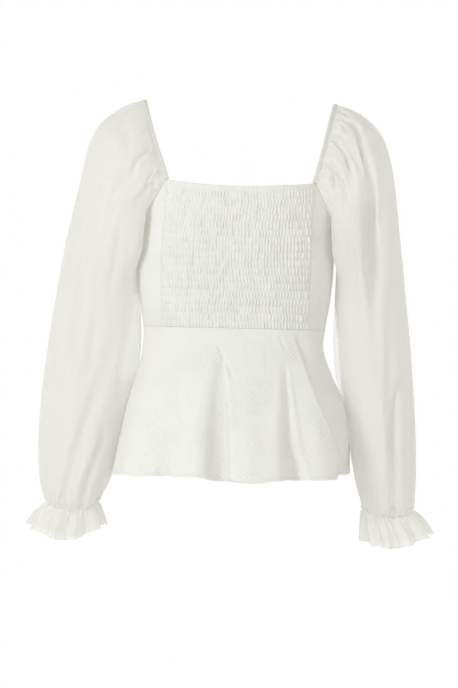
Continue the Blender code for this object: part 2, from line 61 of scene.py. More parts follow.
# %% [markdown]
# ## Camera
#
# A garment is photographed from a few metres away with a long lens, so its near and far sides
# have almost the same scale. The picture is 458 by 688 pixels, and a pixel covers 1.45 mm of
# cloth. The lens follows from that and the distance. The camera is rolled a little, because the
# shoulders don't quite stand level in the frame.

# %% Camera
PICTURE_HEIGHT = 688
PIXEL = 0.00145
CAMERA_DISTANCE = 3.5
SENSOR = 36.0
CAMERA_ROLL = math.radians(1.386)
MIDDLE = Vector((-5.1 * PIXEL, 0.0, -241.7 * PIXEL))

lens = bpy.data.cameras.new("studio_camera")
lens.sensor_width = SENSOR
lens.lens = SENSOR * CAMERA_DISTANCE / (PICTURE_HEIGHT * PIXEL)
camera = stand("studio_camera", lens)
looking = Matrix.Rotation(math.pi / 2, 4, "X") @ Matrix.Rotation(CAMERA_ROLL, 4, "Z")
camera.matrix_world = Matrix.Translation(MIDDLE + Vector((0, -CAMERA_DISTANCE, 0))) @ looking
bpy.context.scene.camera = camera
print("lens", round(lens.lens, 1), "mm")

# %% [markdown]
# ## Colours and nodes
#
# Colours are written as sRGB hex, as a colour picker shows them, and one function turns them to
# the linear values that shaders work in. One more function adds a node of any kind, with its
# inputs and settings. An input is a plain value, another node's output, or another node, whose
# first output is then used. The kinds of node that come up often have a short name.

# %% Colour and node helpers
MATH = "ShaderNodeMath"
VECTOR_MATH = "ShaderNodeVectorMath"
SPOT = "ShaderNodeCombineXYZ"
SOFT_NOISE = "ShaderNodeTexNoise"
RANGE = "ShaderNodeMapRange"
MIX = "ShaderNodeMix"
BUMP = "ShaderNodeBump"
DICE = "ShaderNodeTexWhiteNoise"
NAMED = "GeometryNodeInputNamedAttribute"
FLOAT = "NodeSocketFloat"


def linear(hex_code):
    channels = [int(hex_code[i : i + 2], 16) / 255 for i in (1, 3, 5)]
    return [c / 12.92 if c <= 0.04045 else ((c + 0.055) / 1.055) ** 2.4 for c in channels] + [1.0]


def add(tree, kind, inputs=None, **settings):
    """Adds a node with its settings and inputs, which go by name or number, or in order."""
    node = tree.nodes.new(kind)
    for name, value in settings.items():
        setattr(node, name, value)
    named = dict(enumerate(inputs)) if isinstance(inputs, list) else inputs or {}
    for name, value in named.items():
        if isinstance(value, bpy.types.Node):
            value = value.outputs[0]
        if isinstance(value, bpy.types.NodeSocket):
            tree.links.new(value, node.inputs[name])
        else:
            node.inputs[name].default_value = value
    return node


# %% [markdown]
# ## White studio
#
# The backdrop of such a picture is lit until it is pure white, more than the cloth in front of it.
# Light Path lets the backdrop and the floor show white, while they light the cloth by amounts of
# their own: much from behind, where the backdrop stands, and less from the room in front. It is
# the light from behind that makes sheer sleeves glow. A large soft lamp in front, a little to the
# left, and a weaker one at the right give each fold a light and a darker side.

# %% Floor, backdrop and lamps
LIGHT_FROM_ROOM = 0.54
LIGHT_FROM_BACKDROP = 1.25
FLOOR_LIGHT = 0.80
ROOM_TINT = "#FFFEF8"
FLOOR_HEIGHT = -1.45
FLOOR_SIZE = 14.0


def light_or_white(tree, strength):
    """A tinted light of this strength for the cloth, and pure white for the camera."""
    seen = add(tree, "ShaderNodeLightPath").outputs["Is Camera Ray"]
    level = add(tree, MIX, {0: seen, 2: strength, 3: 1.0})
    colours = {0: seen, 6: linear(ROOM_TINT), 7: (1.0, 1.0, 1.0, 1.0)}
    tint = add(tree, MIX, colours, data_type="RGBA")
    return level, tint.outputs[2]


world = bpy.data.worlds.new("white_backdrop")
world.use_nodes = True
tree = world.node_tree
tree.nodes.clear()
looked_at = add(tree, "ShaderNodeTexCoord").outputs["Generated"]
to_back = add(tree, "ShaderNodeSeparateXYZ", [looked_at]).outputs["Y"]
levels = {0: to_back, 1: -0.5, 2: 1.0, 3: LIGHT_FROM_ROOM, 4: LIGHT_FROM_BACKDROP}
level, tint = light_or_white(tree, add(tree, RANGE, levels))
glow = add(tree, "ShaderNodeBackground", {"Strength": level, "Color": tint})
add(tree, "ShaderNodeOutputWorld", {"Surface": glow})
bpy.context.scene.world = world

floor_mesh = bpy.data.meshes.new("floor")
reach = FLOOR_SIZE / 2
corners = [(-reach, -reach), (reach, -reach), (reach, reach), (-reach, reach)]
floor_mesh.from_pydata([(x, y, FLOOR_HEIGHT) for x, y in corners], [], [(0, 1, 2, 3)])
paper = bpy.data.materials.new("white_paper_floor")
paper.use_nodes = True
paper.node_tree.nodes.clear()
level, tint = light_or_white(paper.node_tree, FLOOR_LIGHT)
glow = add(paper.node_tree, "ShaderNodeEmission", {"Strength": level, "Color": tint})
add(paper.node_tree, "ShaderNodeOutputMaterial", {"Surface": glow})
floor_mesh.materials.append(paper)
floor = stand("floor", floor_mesh)


def soft_lamp(name, place, size, power, tint):
    data = bpy.data.lights.new(name, "AREA")
    data.shape = "DISK"
    data.size = size
    data.energy = power
    data.color = tint
    lamp = stand(name, data)
    lamp.location = place
    lamp.rotation_euler = (MIDDLE - Vector(place)).to_track_quat("-Z", "Y").to_euler()


soft_lamp("left_lamp", (-2.1, -2.5, 0.3), 1.2, 46.0, (0.95, 0.975, 1.0))
soft_lamp("right_lamp", (2.2, -2.4, -0.1), 1.6, 14.0, (0.98, 0.985, 1.0))
bpy.context.scene.view_settings.view_transform = "Standard"
# A ray may cross many faces of sheer cloth, and light that is passed on softens the shadows
bpy.context.scene.cycles.transparent_max_bounces = 40
bpy.context.scene.cycles.max_bounces = 16
bpy.context.scene.cycles.diffuse_bounces = 10

# %% [markdown]
# ## Cotton dobby
#
# Dobby is plain cotton in which the loom lets small squares float above the ground, here squares
# of 4 mm in a checkerboard. On the cloth it is relief, not colour: it shows where light rakes it.
# A product of two sine waves is positive in every other cell of a grid, and a smooth step turns
# that into soft squares. Wear and pressing flatten them unevenly, so slow noise makes them stand
# out in patches. The pattern reads the cloth's own flat map in metres, so that it follows the
# fall of the piece. In the shirring the squares are stretched nearly flat.
#
# Thin cloth glows from behind: part of the light that falls on it leaves on its other side, and
# this is what keeps the folds of white cloth warm and pale. So each cloth mixes a translucent
# shader into its surface. Thread spacing is drawn coarser than real, so that it shows at all.

# %% Cotton materials
SQUARE = 0.0040
SQUARE_EDGE = 0.8
PATCH_SCALE = 28.0
PATCHES = {1: 0.38, 2: 0.66, 3: 0.35, 4: 1.0}
WEAVE_HEIGHT = 0.00012
WARP_SLUB = 900.0
WEFT_SLUB = 160.0
COTTON_THROUGH = 0.22
CHIFFON_THROUGH = 0.38


def cloth_material(name, roughness, sheen, see_into, depth):
    material = bpy.data.materials.new(name)
    material.use_nodes = True
    tree = material.node_tree
    shader = tree.nodes["Principled BSDF"]
    for socket, value in (
        ("Roughness", roughness), ("Sheen Weight", sheen), ("Sheen Roughness", 0.5),
        ("Specular IOR Level", 0.25), ("Subsurface Weight", see_into),
        ("Subsurface Radius", (1.0, 0.95, 0.85)), ("Subsurface Scale", depth),
    ):
        shader.inputs[socket].default_value = value
    return material, tree, shader


def let_light_through(tree, shader, share, alpha):
    """Part of the light that falls on a thin cloth leaves it on the other side."""
    normal, tint = (shader.inputs[n].links[0].from_socket for n in ("Normal", "Base Color"))
    through = add(tree, "ShaderNodeBsdfTranslucent", {"Normal": normal, "Color": tint})
    solid = add(tree, "ShaderNodeMixShader", [share, shader, through])
    gap = add(tree, "ShaderNodeBsdfTransparent")
    cloth_or_gap = add(tree, "ShaderNodeMixShader", [alpha, gap, solid])
    tree.links.new(cloth_or_gap.outputs[0], tree.nodes["Material Output"].inputs["Surface"])


def weave_height(tree, flat, along_warp, along_weft):
    """Uneven threads both ways, on the cloth's flat map."""
    both = []
    for scale in ((along_warp, along_weft, 1), (along_weft, along_warp, 1)):
        place = add(tree, VECTOR_MATH, {0: flat, 1: scale}, operation="MULTIPLY")
        both.append(add(tree, SOFT_NOISE, {"Vector": place, "Scale": 1.0, "Detail": 2.0}))
    return add(tree, MATH, both, operation="ADD")


def soft_tint(tree, shader, hex_code, other_hex):
    """Slow, faint drift between two near shades, as in any undyed cloth."""
    place = add(tree, "ShaderNodeTexCoord").outputs["Object"]
    cloud = add(tree, SOFT_NOISE, {"Vector": place, "Scale": 9.0, "Detail": 2.0})
    shades = {0: cloud, 6: linear(hex_code), 7: linear(other_hex)}
    shade = add(tree, MIX, shades, data_type="RGBA")
    tree.links.new(shade.outputs[2], shader.inputs["Base Color"])


def cotton(name, square_height, tints=("#F5F5F3", "#F4F3F0")):
    material, tree, shader = cloth_material(name, roughness=0.9, sheen=0.12, see_into=0.3, depth=0.0015)
    soft_tint(tree, shader, *tints)
    flat = add(tree, "ShaderNodeUVMap", uv_map="flat").outputs[0]
    waves = []
    for length in add(tree, "ShaderNodeSeparateXYZ", {0: flat}).outputs[:2]:
        phase = add(tree, MATH, [length, math.pi / SQUARE], operation="MULTIPLY")
        waves.append(add(tree, MATH, [phase], operation="SINE"))
    cells = {0: add(tree, MATH, waves, operation="MULTIPLY"), 1: 0.0, 2: SQUARE_EDGE}
    squares = add(tree, RANGE, cells, interpolation_type="SMOOTHSTEP")
    place = add(tree, "ShaderNodeTexCoord").outputs["Object"]
    cloud = add(tree, SOFT_NOISE, {"Vector": place, "Scale": PATCH_SCALE, "Detail": 1.0})
    standing = add(tree, RANGE, {0: cloud, **PATCHES})
    squares = add(tree, MATH, [squares, standing], operation="MULTIPLY")
    raised = add(tree, BUMP, {"Strength": 1.0, "Distance": square_height, "Height": squares})
    threads = weave_height(tree, flat, WARP_SLUB, WEFT_SLUB)
    woven = {"Strength": 1.0, "Distance": WEAVE_HEIGHT, "Height": threads, "Normal": raised}
    tree.links.new(add(tree, BUMP, woven).outputs[0], shader.inputs["Normal"])
    let_light_through(tree, shader, COTTON_THROUGH, 1.0)
    return material


dobby_cotton = cotton("dobby_woven_cotton", 0.00046)
shirred_cotton = cotton("shirred_dobby_cotton", 0.00012)
binding_cotton = cotton("binding_cotton", 0.00012, ("#EEEDE9", "#ECEBE7"))

# %% [markdown]
# ## Sheer chiffon
#
# Chiffon is woven open from hard-twisted fine threads, so light passes between them: two layers
# over each other look nearly solid, and one looks pale against white. Alpha gives the share that
# the threads cover. The cloth is a closed thin shell, so a ray meets two faces in each layer, and
# what passes one face is the square root of what passes the layer. The attribute named cover says
# where the cloth lies gathered and dense, and where it is pulled flat and open.

# %% Chiffon and thread materials
OPEN_COVER = 0.10
DENSE_COVER = 0.56
CREPE = 700.0
CREPE_HEIGHT = 0.00006


def chiffon(name):
    material, tree, shader = cloth_material(name, roughness=0.85, sheen=0.2, see_into=0.5, depth=0.002)
    soft_tint(tree, shader, "#F4F4F2", "#F3F2EF")
    flat = add(tree, "ShaderNodeUVMap", uv_map="flat").outputs[0]
    threads = weave_height(tree, flat, CREPE, CREPE / 2)
    bump = add(tree, BUMP, {"Strength": 1.0, "Distance": CREPE_HEIGHT, "Height": threads})
    tree.links.new(bump.outputs[0], shader.inputs["Normal"])
    cover = add(tree, "ShaderNodeAttribute", attribute_name="cover").outputs[2]
    alpha = add(tree, RANGE, {0: cover, 3: OPEN_COVER, 4: DENSE_COVER})
    let_light_through(tree, shader, CHIFFON_THROUGH, alpha)
    return material


sheer_chiffon = chiffon("sheer_woven_chiffon")
sewing_thread, _, shader = cloth_material(
    "polyester_sewing_thread", roughness=0.55, sheen=0.0, see_into=0.0, depth=0.001,
)
shader.inputs["Base Color"].default_value = linear("#EFEEE6")

# %% [markdown]
# ## The body's form
#
# All the panels lie on one form. A table gives its half width and depth at some heights, a smooth
# curve joins the rows, and each section is a little squarer than an ellipse. Below the waist seam
# the peplum adds its flutes: each is a rounded ridge or valley that grows towards the hem. The
# same numbers made the solid model, so that the cloth lies on it.

# %% Form of the body
NECK_AT_BACK = -0.1195
NECK_DIP_AT_BACK = 0.0084
NECK_AT_FRONT = -0.1330
NECK_DIP_AT_FRONT = 0.0040
UNDERARM = -0.1950
WAIST = -0.3280
HEM = -0.5400
BACK_CORNER = 0.1050
FRONT_CORNER = 0.1100
SHOULDER = 0.1385
SIDE = math.pi / 2
SQUARENESS = 2.5

# Height, half width left and right, half depth back and front
BODY = np.array([
    (-0.1000, 0.1350, 0.1350, 0.1010, 0.1000),
    (-0.1300, 0.1380, 0.1380, 0.1070, 0.1120),
    (-0.1650, 0.1410, 0.1405, 0.1095, 0.1260),
    (-0.2000, 0.1430, 0.1410, 0.1080, 0.1330),
    (-0.2450, 0.1435, 0.1410, 0.1030, 0.1270),
    (-0.2900, 0.1385, 0.1368, 0.0970, 0.1120),
    (-0.3280, 0.1315, 0.1312, 0.0940, 0.1020),
    (-0.3550, 0.1320, 0.1295, 0.0955, 0.1010),
    (-0.3900, 0.1380, 0.1405, 0.1070, 0.1100),
    (-0.4350, 0.1500, 0.1600, 0.1240, 0.1250),
    (-0.4900, 0.1600, 0.1680, 0.1390, 0.1400),
    (-0.5450, 0.1690, 0.1680, 0.1500, 0.1520),
])

# Place at the seam and at the hem in degrees from the centre back, half width, rise, hem drop
FLUTES = [
    (-80, -80, 18, 0.0040, 0.0010),
    (-56, -56, 15, 0.0055, -0.0010),
    (-40, -36, 13, -0.0105, -0.0030),
    (-24, -19, 11, 0.0050, -0.0030),
    (-11, -4.5, 10, -0.0120, 0.0010),
    (8, 10, 13, 0.0060, 0.0035),
    (42, 35, 11, -0.0135, -0.0010),
    (52, 51, 13, 0.0080, -0.0020),
    (64, 70, 12, -0.0080, -0.0070),
    (86, 90, 15, 0.0040, -0.0100),
    (106, 107, 13, -0.0080, -0.0110),
    (125, 126, 14, 0.0060, -0.0090),
    (145, 146, 13, -0.0095, -0.0050),
    (163, 164, 12, 0.0055, 0.0010),
    (181, 180, 11, -0.0070, -0.0010),
    (199, 198, 13, 0.0065, 0.0020),
    (218, 217, 13, -0.0090, -0.0010),
    (238, 237, 14, 0.0060, 0.0010),
    (258, 257, 13, -0.0060, 0.0000),
]
FLUTE_START = 0.14
FLUTE_GROWTH = 1.1
HEM_SPREAD = 1.25


def smooth_rows(rows, places):
    """Every column of a table at many places, on a smooth curve through its rows."""
    keys = rows[:, 0]
    sign = -1.0 if keys[-1] < keys[0] else 1.0
    i = np.clip(np.searchsorted(sign * keys, sign * places, side="left") - 1, 0, len(rows) - 2)
    t = np.clip((places - keys[i]) / (keys[i + 1] - keys[i]), 0.0, 1.0)[..., None]
    slopes = np.empty_like(rows)
    slopes[1:-1] = (rows[2:] - rows[:-2]) / 2
    slopes[0] = rows[1] - rows[0]
    slopes[-1] = rows[-1] - rows[-2]
    return (
        rows[i] * (2 * t**3 - 3 * t**2 + 1)
        + slopes[i] * (t**3 - 2 * t**2 + t)
        + rows[i + 1] * (3 * t**2 - 2 * t**3)
        + slopes[i + 1] * (t**3 - t**2)
    )


def rounded(distance, half_width):
    """1 at the middle of a fold, falling smoothly to 0 at its half width."""
    bell = 0.5 + 0.5 * np.cos(np.pi * distance / half_width)
    return np.where(np.abs(distance) < half_width, bell, 0.0)


def around(angle, other):
    return (angle - other + 180.0) % 360.0 - 180.0


def flute_rise(angle, height):
    fall = np.maximum((WAIST - height) / (WAIST - HEM), 0.0)
    swell = (np.maximum(fall - FLUTE_START, 0.0) / (1.0 - FLUTE_START)) ** FLUTE_GROWTH
    total = np.zeros(np.shape(angle))
    for at_seam, at_hem, half_width, rise, _ in FLUTES:
        middle = at_seam + (at_hem - at_seam) * fall
        total = total + rise * rounded(around(angle, middle), half_width)
    return total * swell


def hem_line(turn):
    drop = np.zeros(np.shape(turn))
    for _, at_hem, half_width, _, hem_drop in FLUTES:
        drop = drop + hem_drop * rounded(around(np.degrees(turn), at_hem), half_width * HEM_SPREAD)
    return HEM - drop


def section_sizes(turn, height):
    sizes = smooth_rows(BODY, height)
    width = np.where(np.sin(turn) >= 0.0, sizes[..., 2], sizes[..., 1])
    depth = np.where(np.cos(turn) >= 0.0, sizes[..., 3], sizes[..., 4])
    return width, depth


def body_radius(turn, height):
    """Distance from the body's axis at a turn in radians from the centre back."""
    turn, height = np.broadcast_arrays(np.asarray(turn, float), np.asarray(height, float))
    width, depth = section_sizes(turn, height)
    to_side = np.abs(np.sin(turn) / width) ** SQUARENESS
    to_back = np.abs(np.cos(turn) / depth) ** SQUARENESS
    radius = (to_side + to_back) ** (-1.0 / SQUARENESS)
    return radius + flute_rise(np.degrees(turn), height)


def body_point(turn, height):
    radius = body_radius(turn, height)
    turn, height = np.broadcast_arrays(np.asarray(turn, float), np.asarray(height, float))
    return np.stack([radius * np.sin(turn), -radius * np.cos(turn), height], axis=-1)


def turn_at(x, height, front=False):
    """The turn at which the body's section has this x, on its back or its front."""
    sizes = smooth_rows(BODY, np.asarray(height, float))
    width = np.where(np.asarray(x) >= 0.0, sizes[..., 2], sizes[..., 1])
    depth = -sizes[..., 4] if front else sizes[..., 3]
    share = np.maximum(1.0 - np.abs(x / width) ** SQUARENESS, 0.0) ** (1.0 / SQUARENESS)
    return np.arctan2(x, depth * share)


def armhole_line_height(turn):
    """Height of the armhole seam at a turn between the back and the front neck corner."""
    back = turn_at(BACK_CORNER, NECK_AT_BACK)
    front = turn_at(FRONT_CORNER, NECK_AT_FRONT, front=True)
    share = np.where(turn <= SIDE, (turn - back) / (SIDE - back), (front - turn) / (front - SIDE))
    top = np.where(turn <= SIDE, NECK_AT_BACK, NECK_AT_FRONT)
    return top + (UNDERARM - top) * np.sin(np.clip(share, 0.0, 1.0) * math.pi / 2)


waist_width = float(body_radius(SIDE, WAIST) + body_radius(-SIDE, WAIST))
print("waist is", round(waist_width * 1000), "mm across")

# %% [markdown]
# ## From a grid of points to a thin cloth
#
# A cloth piece is worked out as a grid of points: rows run down and columns run across. The shell
# takes that grid as its outer face, sets an inner face a cloth's thickness behind it, and closes
# the rim. The flat map holds lengths measured along the cloth in metres, so that a woven pattern
# keeps its size. Last, every piece is moved a little askew near the neck, as the top isn't quite
# square on its form.

# %% Cloth shells
COTTON_THICKNESS = 0.0009
CHIFFON_THICKNESS = 0.0005
ASKEW = 0.0036
ASKEW_HEIGHT = 0.055
ASKEW_DEPTH = 0.08


def grid_normals(grid, joined=False):
    if joined:
        across = np.roll(grid, -1, axis=1) - np.roll(grid, 1, axis=1)
    else:
        across = np.gradient(grid, axis=1)
    normals = np.cross(np.gradient(grid, axis=0), across)
    return normals / np.linalg.norm(normals, axis=2, keepdims=True)


def with_relief(grid, height, joined=False):
    """The grid moved out along its normals by a height at each point."""
    return grid + grid_normals(grid, joined) * height[..., None]


def walked(grid, axis):
    """Length on the cloth from its first row (axis 0) or column (axis 1) to each point."""
    steps = np.linalg.norm(np.diff(grid, axis=axis), axis=-1)
    return np.insert(np.cumsum(steps, axis=axis), 0, 0.0, axis=axis)


def flat_map(grid, joined=False):
    """Lengths along the rows, from the middle column, and down the columns."""
    closed = np.concatenate([grid, grid[:, :1]], axis=1) if joined else grid
    across = walked(closed, 1)
    across -= across[:, across.shape[1] // 2][:, None]
    return np.stack([across, walked(closed, 0)], axis=2)


def askew(points):
    """The top sits a little askew: the back neck corners lie further right than the front ones."""
    points = np.array(points, float)
    near = np.exp(-(((points[:, 2] - NECK_AT_BACK) / ASKEW_HEIGHT) ** 2))
    points[:, 0] += ASKEW * near * smooth_step(0.5 - points[:, 1] / ASKEW_DEPTH)
    return points


def smooth_step(value):
    value = np.clip(value, 0.0, 1.0)
    return value * value * (3.0 - 2.0 * value)


def mesh_piece(name, points, faces, material):
    mesh = bpy.data.meshes.new(name)
    mesh.from_pydata(askew(points).tolist(), [], np.asarray(faces).tolist())
    mesh.shade_smooth()
    mesh.materials.append(material)
    return stand(name, mesh)


def set_flat_map(piece, coordinates):
    layer = piece.data.uv_layers.new(name="flat")
    layer.data.foreach_set("uv", np.asarray(coordinates, np.float32).ravel())


def cell_corners(rows, columns, joined):
    r, c = np.mgrid[:rows - 1, :columns if joined else columns - 1].reshape(2, -1)
    around_cell = ((r, c), (r + 1, c), (r + 1, c + 1), (r, c + 1))
    return np.stack([np.stack(corner, 1) for corner in around_cell], 1)


def rim_cells(rows, columns, joined):
    """Cells of the rim, as pairs of grid places, outer edge first."""
    edge = []
    span = columns if joined else columns - 1
    for c in range(span):
        edge.append(((0, c), (0, c + 1)))
        edge.append(((rows - 1, c + 1), (rows - 1, c)))
    if not joined:
        for r in range(rows - 1):
            edge.append(((r + 1, 0), (r, 0)))
            edge.append(((r, columns - 1), (r + 1, columns - 1)))
    return np.array(edge)


def cloth(name, outer, thickness, material, joined=False, cover=None):
    """A closed thin cloth whose outer face is this grid of points."""
    rows, columns, _ = outer.shape
    inner = outer - grid_normals(outer, joined) * thickness
    flat = flat_map(outer, joined)
    corners = cell_corners(rows, columns, joined)
    number = corners[..., 0] * columns + corners[..., 1] % columns
    size = rows * columns
    rim = rim_cells(rows, columns, joined)
    a, b = (rim[..., 0] * columns + rim[..., 1] % columns).T
    rim_faces = np.stack([a, b, b + size, a + size], 1)
    faces = np.concatenate([number, number[:, ::-1] + size, rim_faces])
    points = np.concatenate([outer.reshape(-1, 3), inner.reshape(-1, 3)])
    piece = mesh_piece(name, points, faces, material)
    rim_places = np.stack([rim[:, 0], rim[:, 1], rim[:, 1], rim[:, 0]], 1)
    places = np.concatenate([corners, corners[:, ::-1], rim_places])
    set_flat_map(piece, flat[places[..., 0], places[..., 1]])
    if cover is not None:
        layer = piece.data.attributes.new("cover", "FLOAT", "POINT")
        layer.data.foreach_set("value", np.tile(cover.ravel(), 2).astype(np.float32))
    print(name, len(faces) * 2, "triangles")
    return piece


# %% [markdown]
# ## Creases
#
# Cloth creases where it is pulled or where it folds over. A crease here is a path with a depth
# and a width on each of its sides, so that one side may be steep and the other soft. It fades in
# and out along its path, may grow wider and deeper towards its end, and a faint ridge stands
# beside it, as the cloth that the crease takes up has to go somewhere. Paths are given in
# millimetres as seen from the back: x, then z.

# %% Crease helper
Crease = namedtuple("Crease", "path left right depth fade_in fade_out growth", defaults=[1.0])
CREASE_STEPS = 10
SHOULDER_RIDGE = 0.30
RIDGE_REACH = 2.1


def smooth_path(points, steps):
    """A smooth curve through some points, with so many steps from one to the next."""
    points = np.array(points, float)
    if len(points) == 2:
        return points[0] + (points[1] - points[0]) * np.linspace(0, 1, steps + 1)[:, None]
    ends = np.concatenate([[2 * points[0] - points[1]], points, [2 * points[-1] - points[-2]]])
    curve = []
    for before, a, b, after in zip(ends[:-3], ends[1:-2], ends[2:-1], ends[3:]):
        for t in np.linspace(0.0, 1.0, steps, endpoint=False):
            curve.append(
                0.5 * (2 * a + (b - before) * t + (2 * before - 5 * a + 4 * b - after) * t**2
                       + (3 * a - before - 3 * b + after) * t**3)
            )
    return np.array(curve + [points[-1]])


def crease_sink(grid, creases):
    """How deep the creases sink the cloth at each point, by its x and z."""
    x, z = grid[..., 0], grid[..., 2]
    total = np.zeros(np.shape(x))
    for crease in creases:
        path = smooth_path(crease.path, CREASE_STEPS) / 1000.0
        best = np.full(np.shape(x), 9.0)
        share = np.zeros(np.shape(x))
        side = np.zeros(np.shape(x))
        for k in range(len(path) - 1):
            ax, az = path[k]
            dx, dz = path[k + 1] - path[k]
            t = np.clip(((x - ax) * dx + (z - az) * dz) / (dx * dx + dz * dz), 0.0, 1.0)
            away = np.hypot(x - ax - dx * t, z - az - dz * t)
            closer = away < best
            best = np.where(closer, away, best)
            share = np.where(closer, (k + t) / (len(path) - 1), share)
            side = np.where(closer, np.sign(dx * (z - az) - dz * (x - ax)), side)
        growth = 1.0 + (crease.growth - 1.0) * share
        width = np.where(side > 0, crease.right, crease.left) * growth / 1000.0
        strength = smooth_step(share / max(crease.fade_in, 1e-3))
        strength = strength * smooth_step((1.0 - share) / max(crease.fade_out, 1e-3))
        dip = np.exp(-((best / width) ** 2))
        ridge = SHOULDER_RIDGE * np.exp(-(((best - RIDGE_REACH * width) / width) ** 2))
        total += crease.depth / 1000.0 * growth * strength * (dip - ridge)
    return total


# %% [markdown]
# ## Shirred centre back
#
# Shirring is a plain sheet sewn with many rows of elastic thread. Each row draws it in, so the
# cloth between two rows stands up in short puffs, and each row's gathers hardly carry on in the
# next. That is a rule, so Geometry Nodes make it: every point knows its place across the gathers
# and its row, and a puff is a rounded ridge across, times a rounded swell between two rows of
# elastic. Noise makes the gathers wander, lean and differ in height. Above the first row stands a
# narrow heading, drawn into finer gathers.

# %% Base sheet of the centre back
ELASTIC_ROWS = 18
ROW_STEPS = 7
HEADING = 0.0075
HEADING_STEPS = 6
PANEL_COLUMNS = 368


def neck_height(turn, front=False):
    if front:
        reach = math.pi - turn_at(FRONT_CORNER, NECK_AT_FRONT, front=True)
        share = np.minimum(np.abs(math.pi - turn) / reach, 1.0)
        return NECK_AT_FRONT - NECK_DIP_AT_FRONT * (1.0 - share**2)
    share = np.minimum(np.abs(turn) / turn_at(BACK_CORNER, NECK_AT_BACK), 1.0)
    return NECK_AT_BACK - NECK_DIP_AT_BACK * (1.0 - share**2)


across = np.linspace(0.0, 1.0, PANEL_COLUMNS + 1)
x = (2.0 * across - 1.0) * BACK_CORNER
top = neck_height(turn_at(x, NECK_AT_BACK))
heading_rows = np.linspace(-1.0, 0.0, HEADING_STEPS, endpoint=False)
between = np.linspace(0.0, ELASTIC_ROWS, ELASTIC_ROWS * ROW_STEPS + 1)
row_place = np.concatenate([heading_rows, between])[:, None]
first_row = top - HEADING
body_rows = first_row + (WAIST - first_row) * np.maximum(row_place, 0.0) / ELASTIC_ROWS
heights = np.where(row_place < 0.0, first_row - HEADING * row_place, body_rows)
panel_base = body_point(turn_at(np.broadcast_to(x, heights.shape), heights), heights)
rows, columns, _ = panel_base.shape
corners = cell_corners(rows, columns, False)
faces = corners[..., 0] * columns + corners[..., 1]
back_panel = mesh_piece("shirred_back_panel", panel_base.reshape(-1, 3), faces, shirred_cotton)
set_flat_map(back_panel, flat_map(panel_base)[corners[..., 0], corners[..., 1]])
for name, field in (("across", across), ("row_place", row_place)):
    layer = back_panel.data.attributes.new(name, "FLOAT", "POINT")
    field = np.broadcast_to(field, heights.shape).ravel()
    layer.data.foreach_set("value", field.astype(np.float32))
print("base sheet", rows, "rows", columns, "columns")

# %% [markdown]
# The tree below is made socket by socket, in the order that the rule is read: which row and which
# gather a point is in, how tall that puff is, and how far the point stands out.

# %% Shirring tree
SHIRRING = {
    "Gathers": 46.0, "Heading gathers": 1.6, "Puff height": 0.0036, "Elastic hold": 0.12,
    "Wander": 1.5, "Row jump": 0.90, "Lean": 0.8, "Shortest puff": 0.50, "Seed": 4.0,
}
DROOP = -0.40
RIDGE_ROUNDNESS = 0.75
SWELL_ROUNDNESS = 0.50
HEADING_SWELL = 0.40
SEAM_FLATTENING = 0.010
WANDER_SCALES = (7.0, 0.3)
LEAN_SCALES = (17.0, 5.3)


def new_tree(name, sockets):
    tree = bpy.data.node_groups.new(name, "GeometryNodeTree")
    for label, kind in sockets:
        tree.interface.new_socket(name=label, in_out="INPUT", socket_type=kind)
    tree.interface.new_socket(name="Cloth", in_out="OUTPUT", socket_type="NodeSocketGeometry")
    return tree, add(tree, "NodeGroupInput").outputs


def finish_tree(tree, geometry, material):
    real = add(tree, "GeometryNodeRealizeInstances", {"Geometry": geometry})
    dressed = add(tree, "GeometryNodeSetMaterial", {"Geometry": real, "Material": material})
    add(tree, "NodeGroupOutput", {0: dressed})


def settle(piece, tree, values, solid_thickness=0.0):
    """Runs a tree on a piece and keeps the result as its plain mesh."""
    modifier = piece.modifiers.new("made_by_nodes", "NODES")
    modifier.node_group = tree
    for item in tree.interface.items_tree:
        if item.in_out == "INPUT" and item.name in values:
            modifier[item.identifier] = values[item.name]
    if solid_thickness:
        wall = piece.modifiers.new("wall", "SOLIDIFY")
        wall.thickness = solid_thickness
        wall.offset = -1.0
    seen = piece.evaluated_get(bpy.context.evaluated_depsgraph_get())
    made = bpy.data.meshes.new_from_object(seen)
    made.name = piece.name
    piece.modifiers.clear()
    piece.data = made
    made.shade_smooth()
    print(piece.name, sum(len(p.vertices) - 2 for p in made.polygons), "triangles")
    return piece


numbers = [(label, FLOAT) for label in SHIRRING]
sockets = [("Sheet", "NodeSocketGeometry"), *numbers, ("Cotton", "NodeSocketMaterial")]
shirring, given = new_tree("shirring", sockets)
place = add(shirring, NAMED, {"Name": "row_place"}, data_type="FLOAT")
side = add(shirring, NAMED, {"Name": "across"}, data_type="FLOAT")
row = add(shirring, MATH, [place], operation="FLOOR")
in_row = add(shirring, MATH, [place, row], operation="SUBTRACT")
in_heading = add(shirring, MATH, [place, 0.0], operation="LESS_THAN")

# Two soft noises: a slow one over the whole sheet, and one that differs from row to row
drifts = []
for down, scales in ((place, WANDER_SCALES), (row, LEAN_SCALES)):
    far = add(shirring, MATH, [side, scales[0]], operation="MULTIPLY")
    deep = add(shirring, MATH, [down, scales[1]], operation="MULTIPLY")
    spot = add(shirring, SPOT, [far, deep, given["Seed"]])
    noise = add(shirring, SOFT_NOISE, {0: spot, "Scale": 1.0, "Detail": 1.0})
    drifts.append(add(shirring, MATH, [noise, 0.5], operation="SUBTRACT"))
slow, tilt = drifts

# The slow one lets the gathers wander, and one throw of dice for each row makes them jump
wander = add(shirring, MATH, [slow, given["Wander"]], operation="MULTIPLY")
spot = add(shirring, SPOT, [row, given["Seed"], 3.0])
thrown = add(shirring, DICE, {0: spot}, noise_dimensions="3D")
jump = add(shirring, MATH, [thrown.outputs["Value"], given["Row jump"]], operation="MULTIPLY")

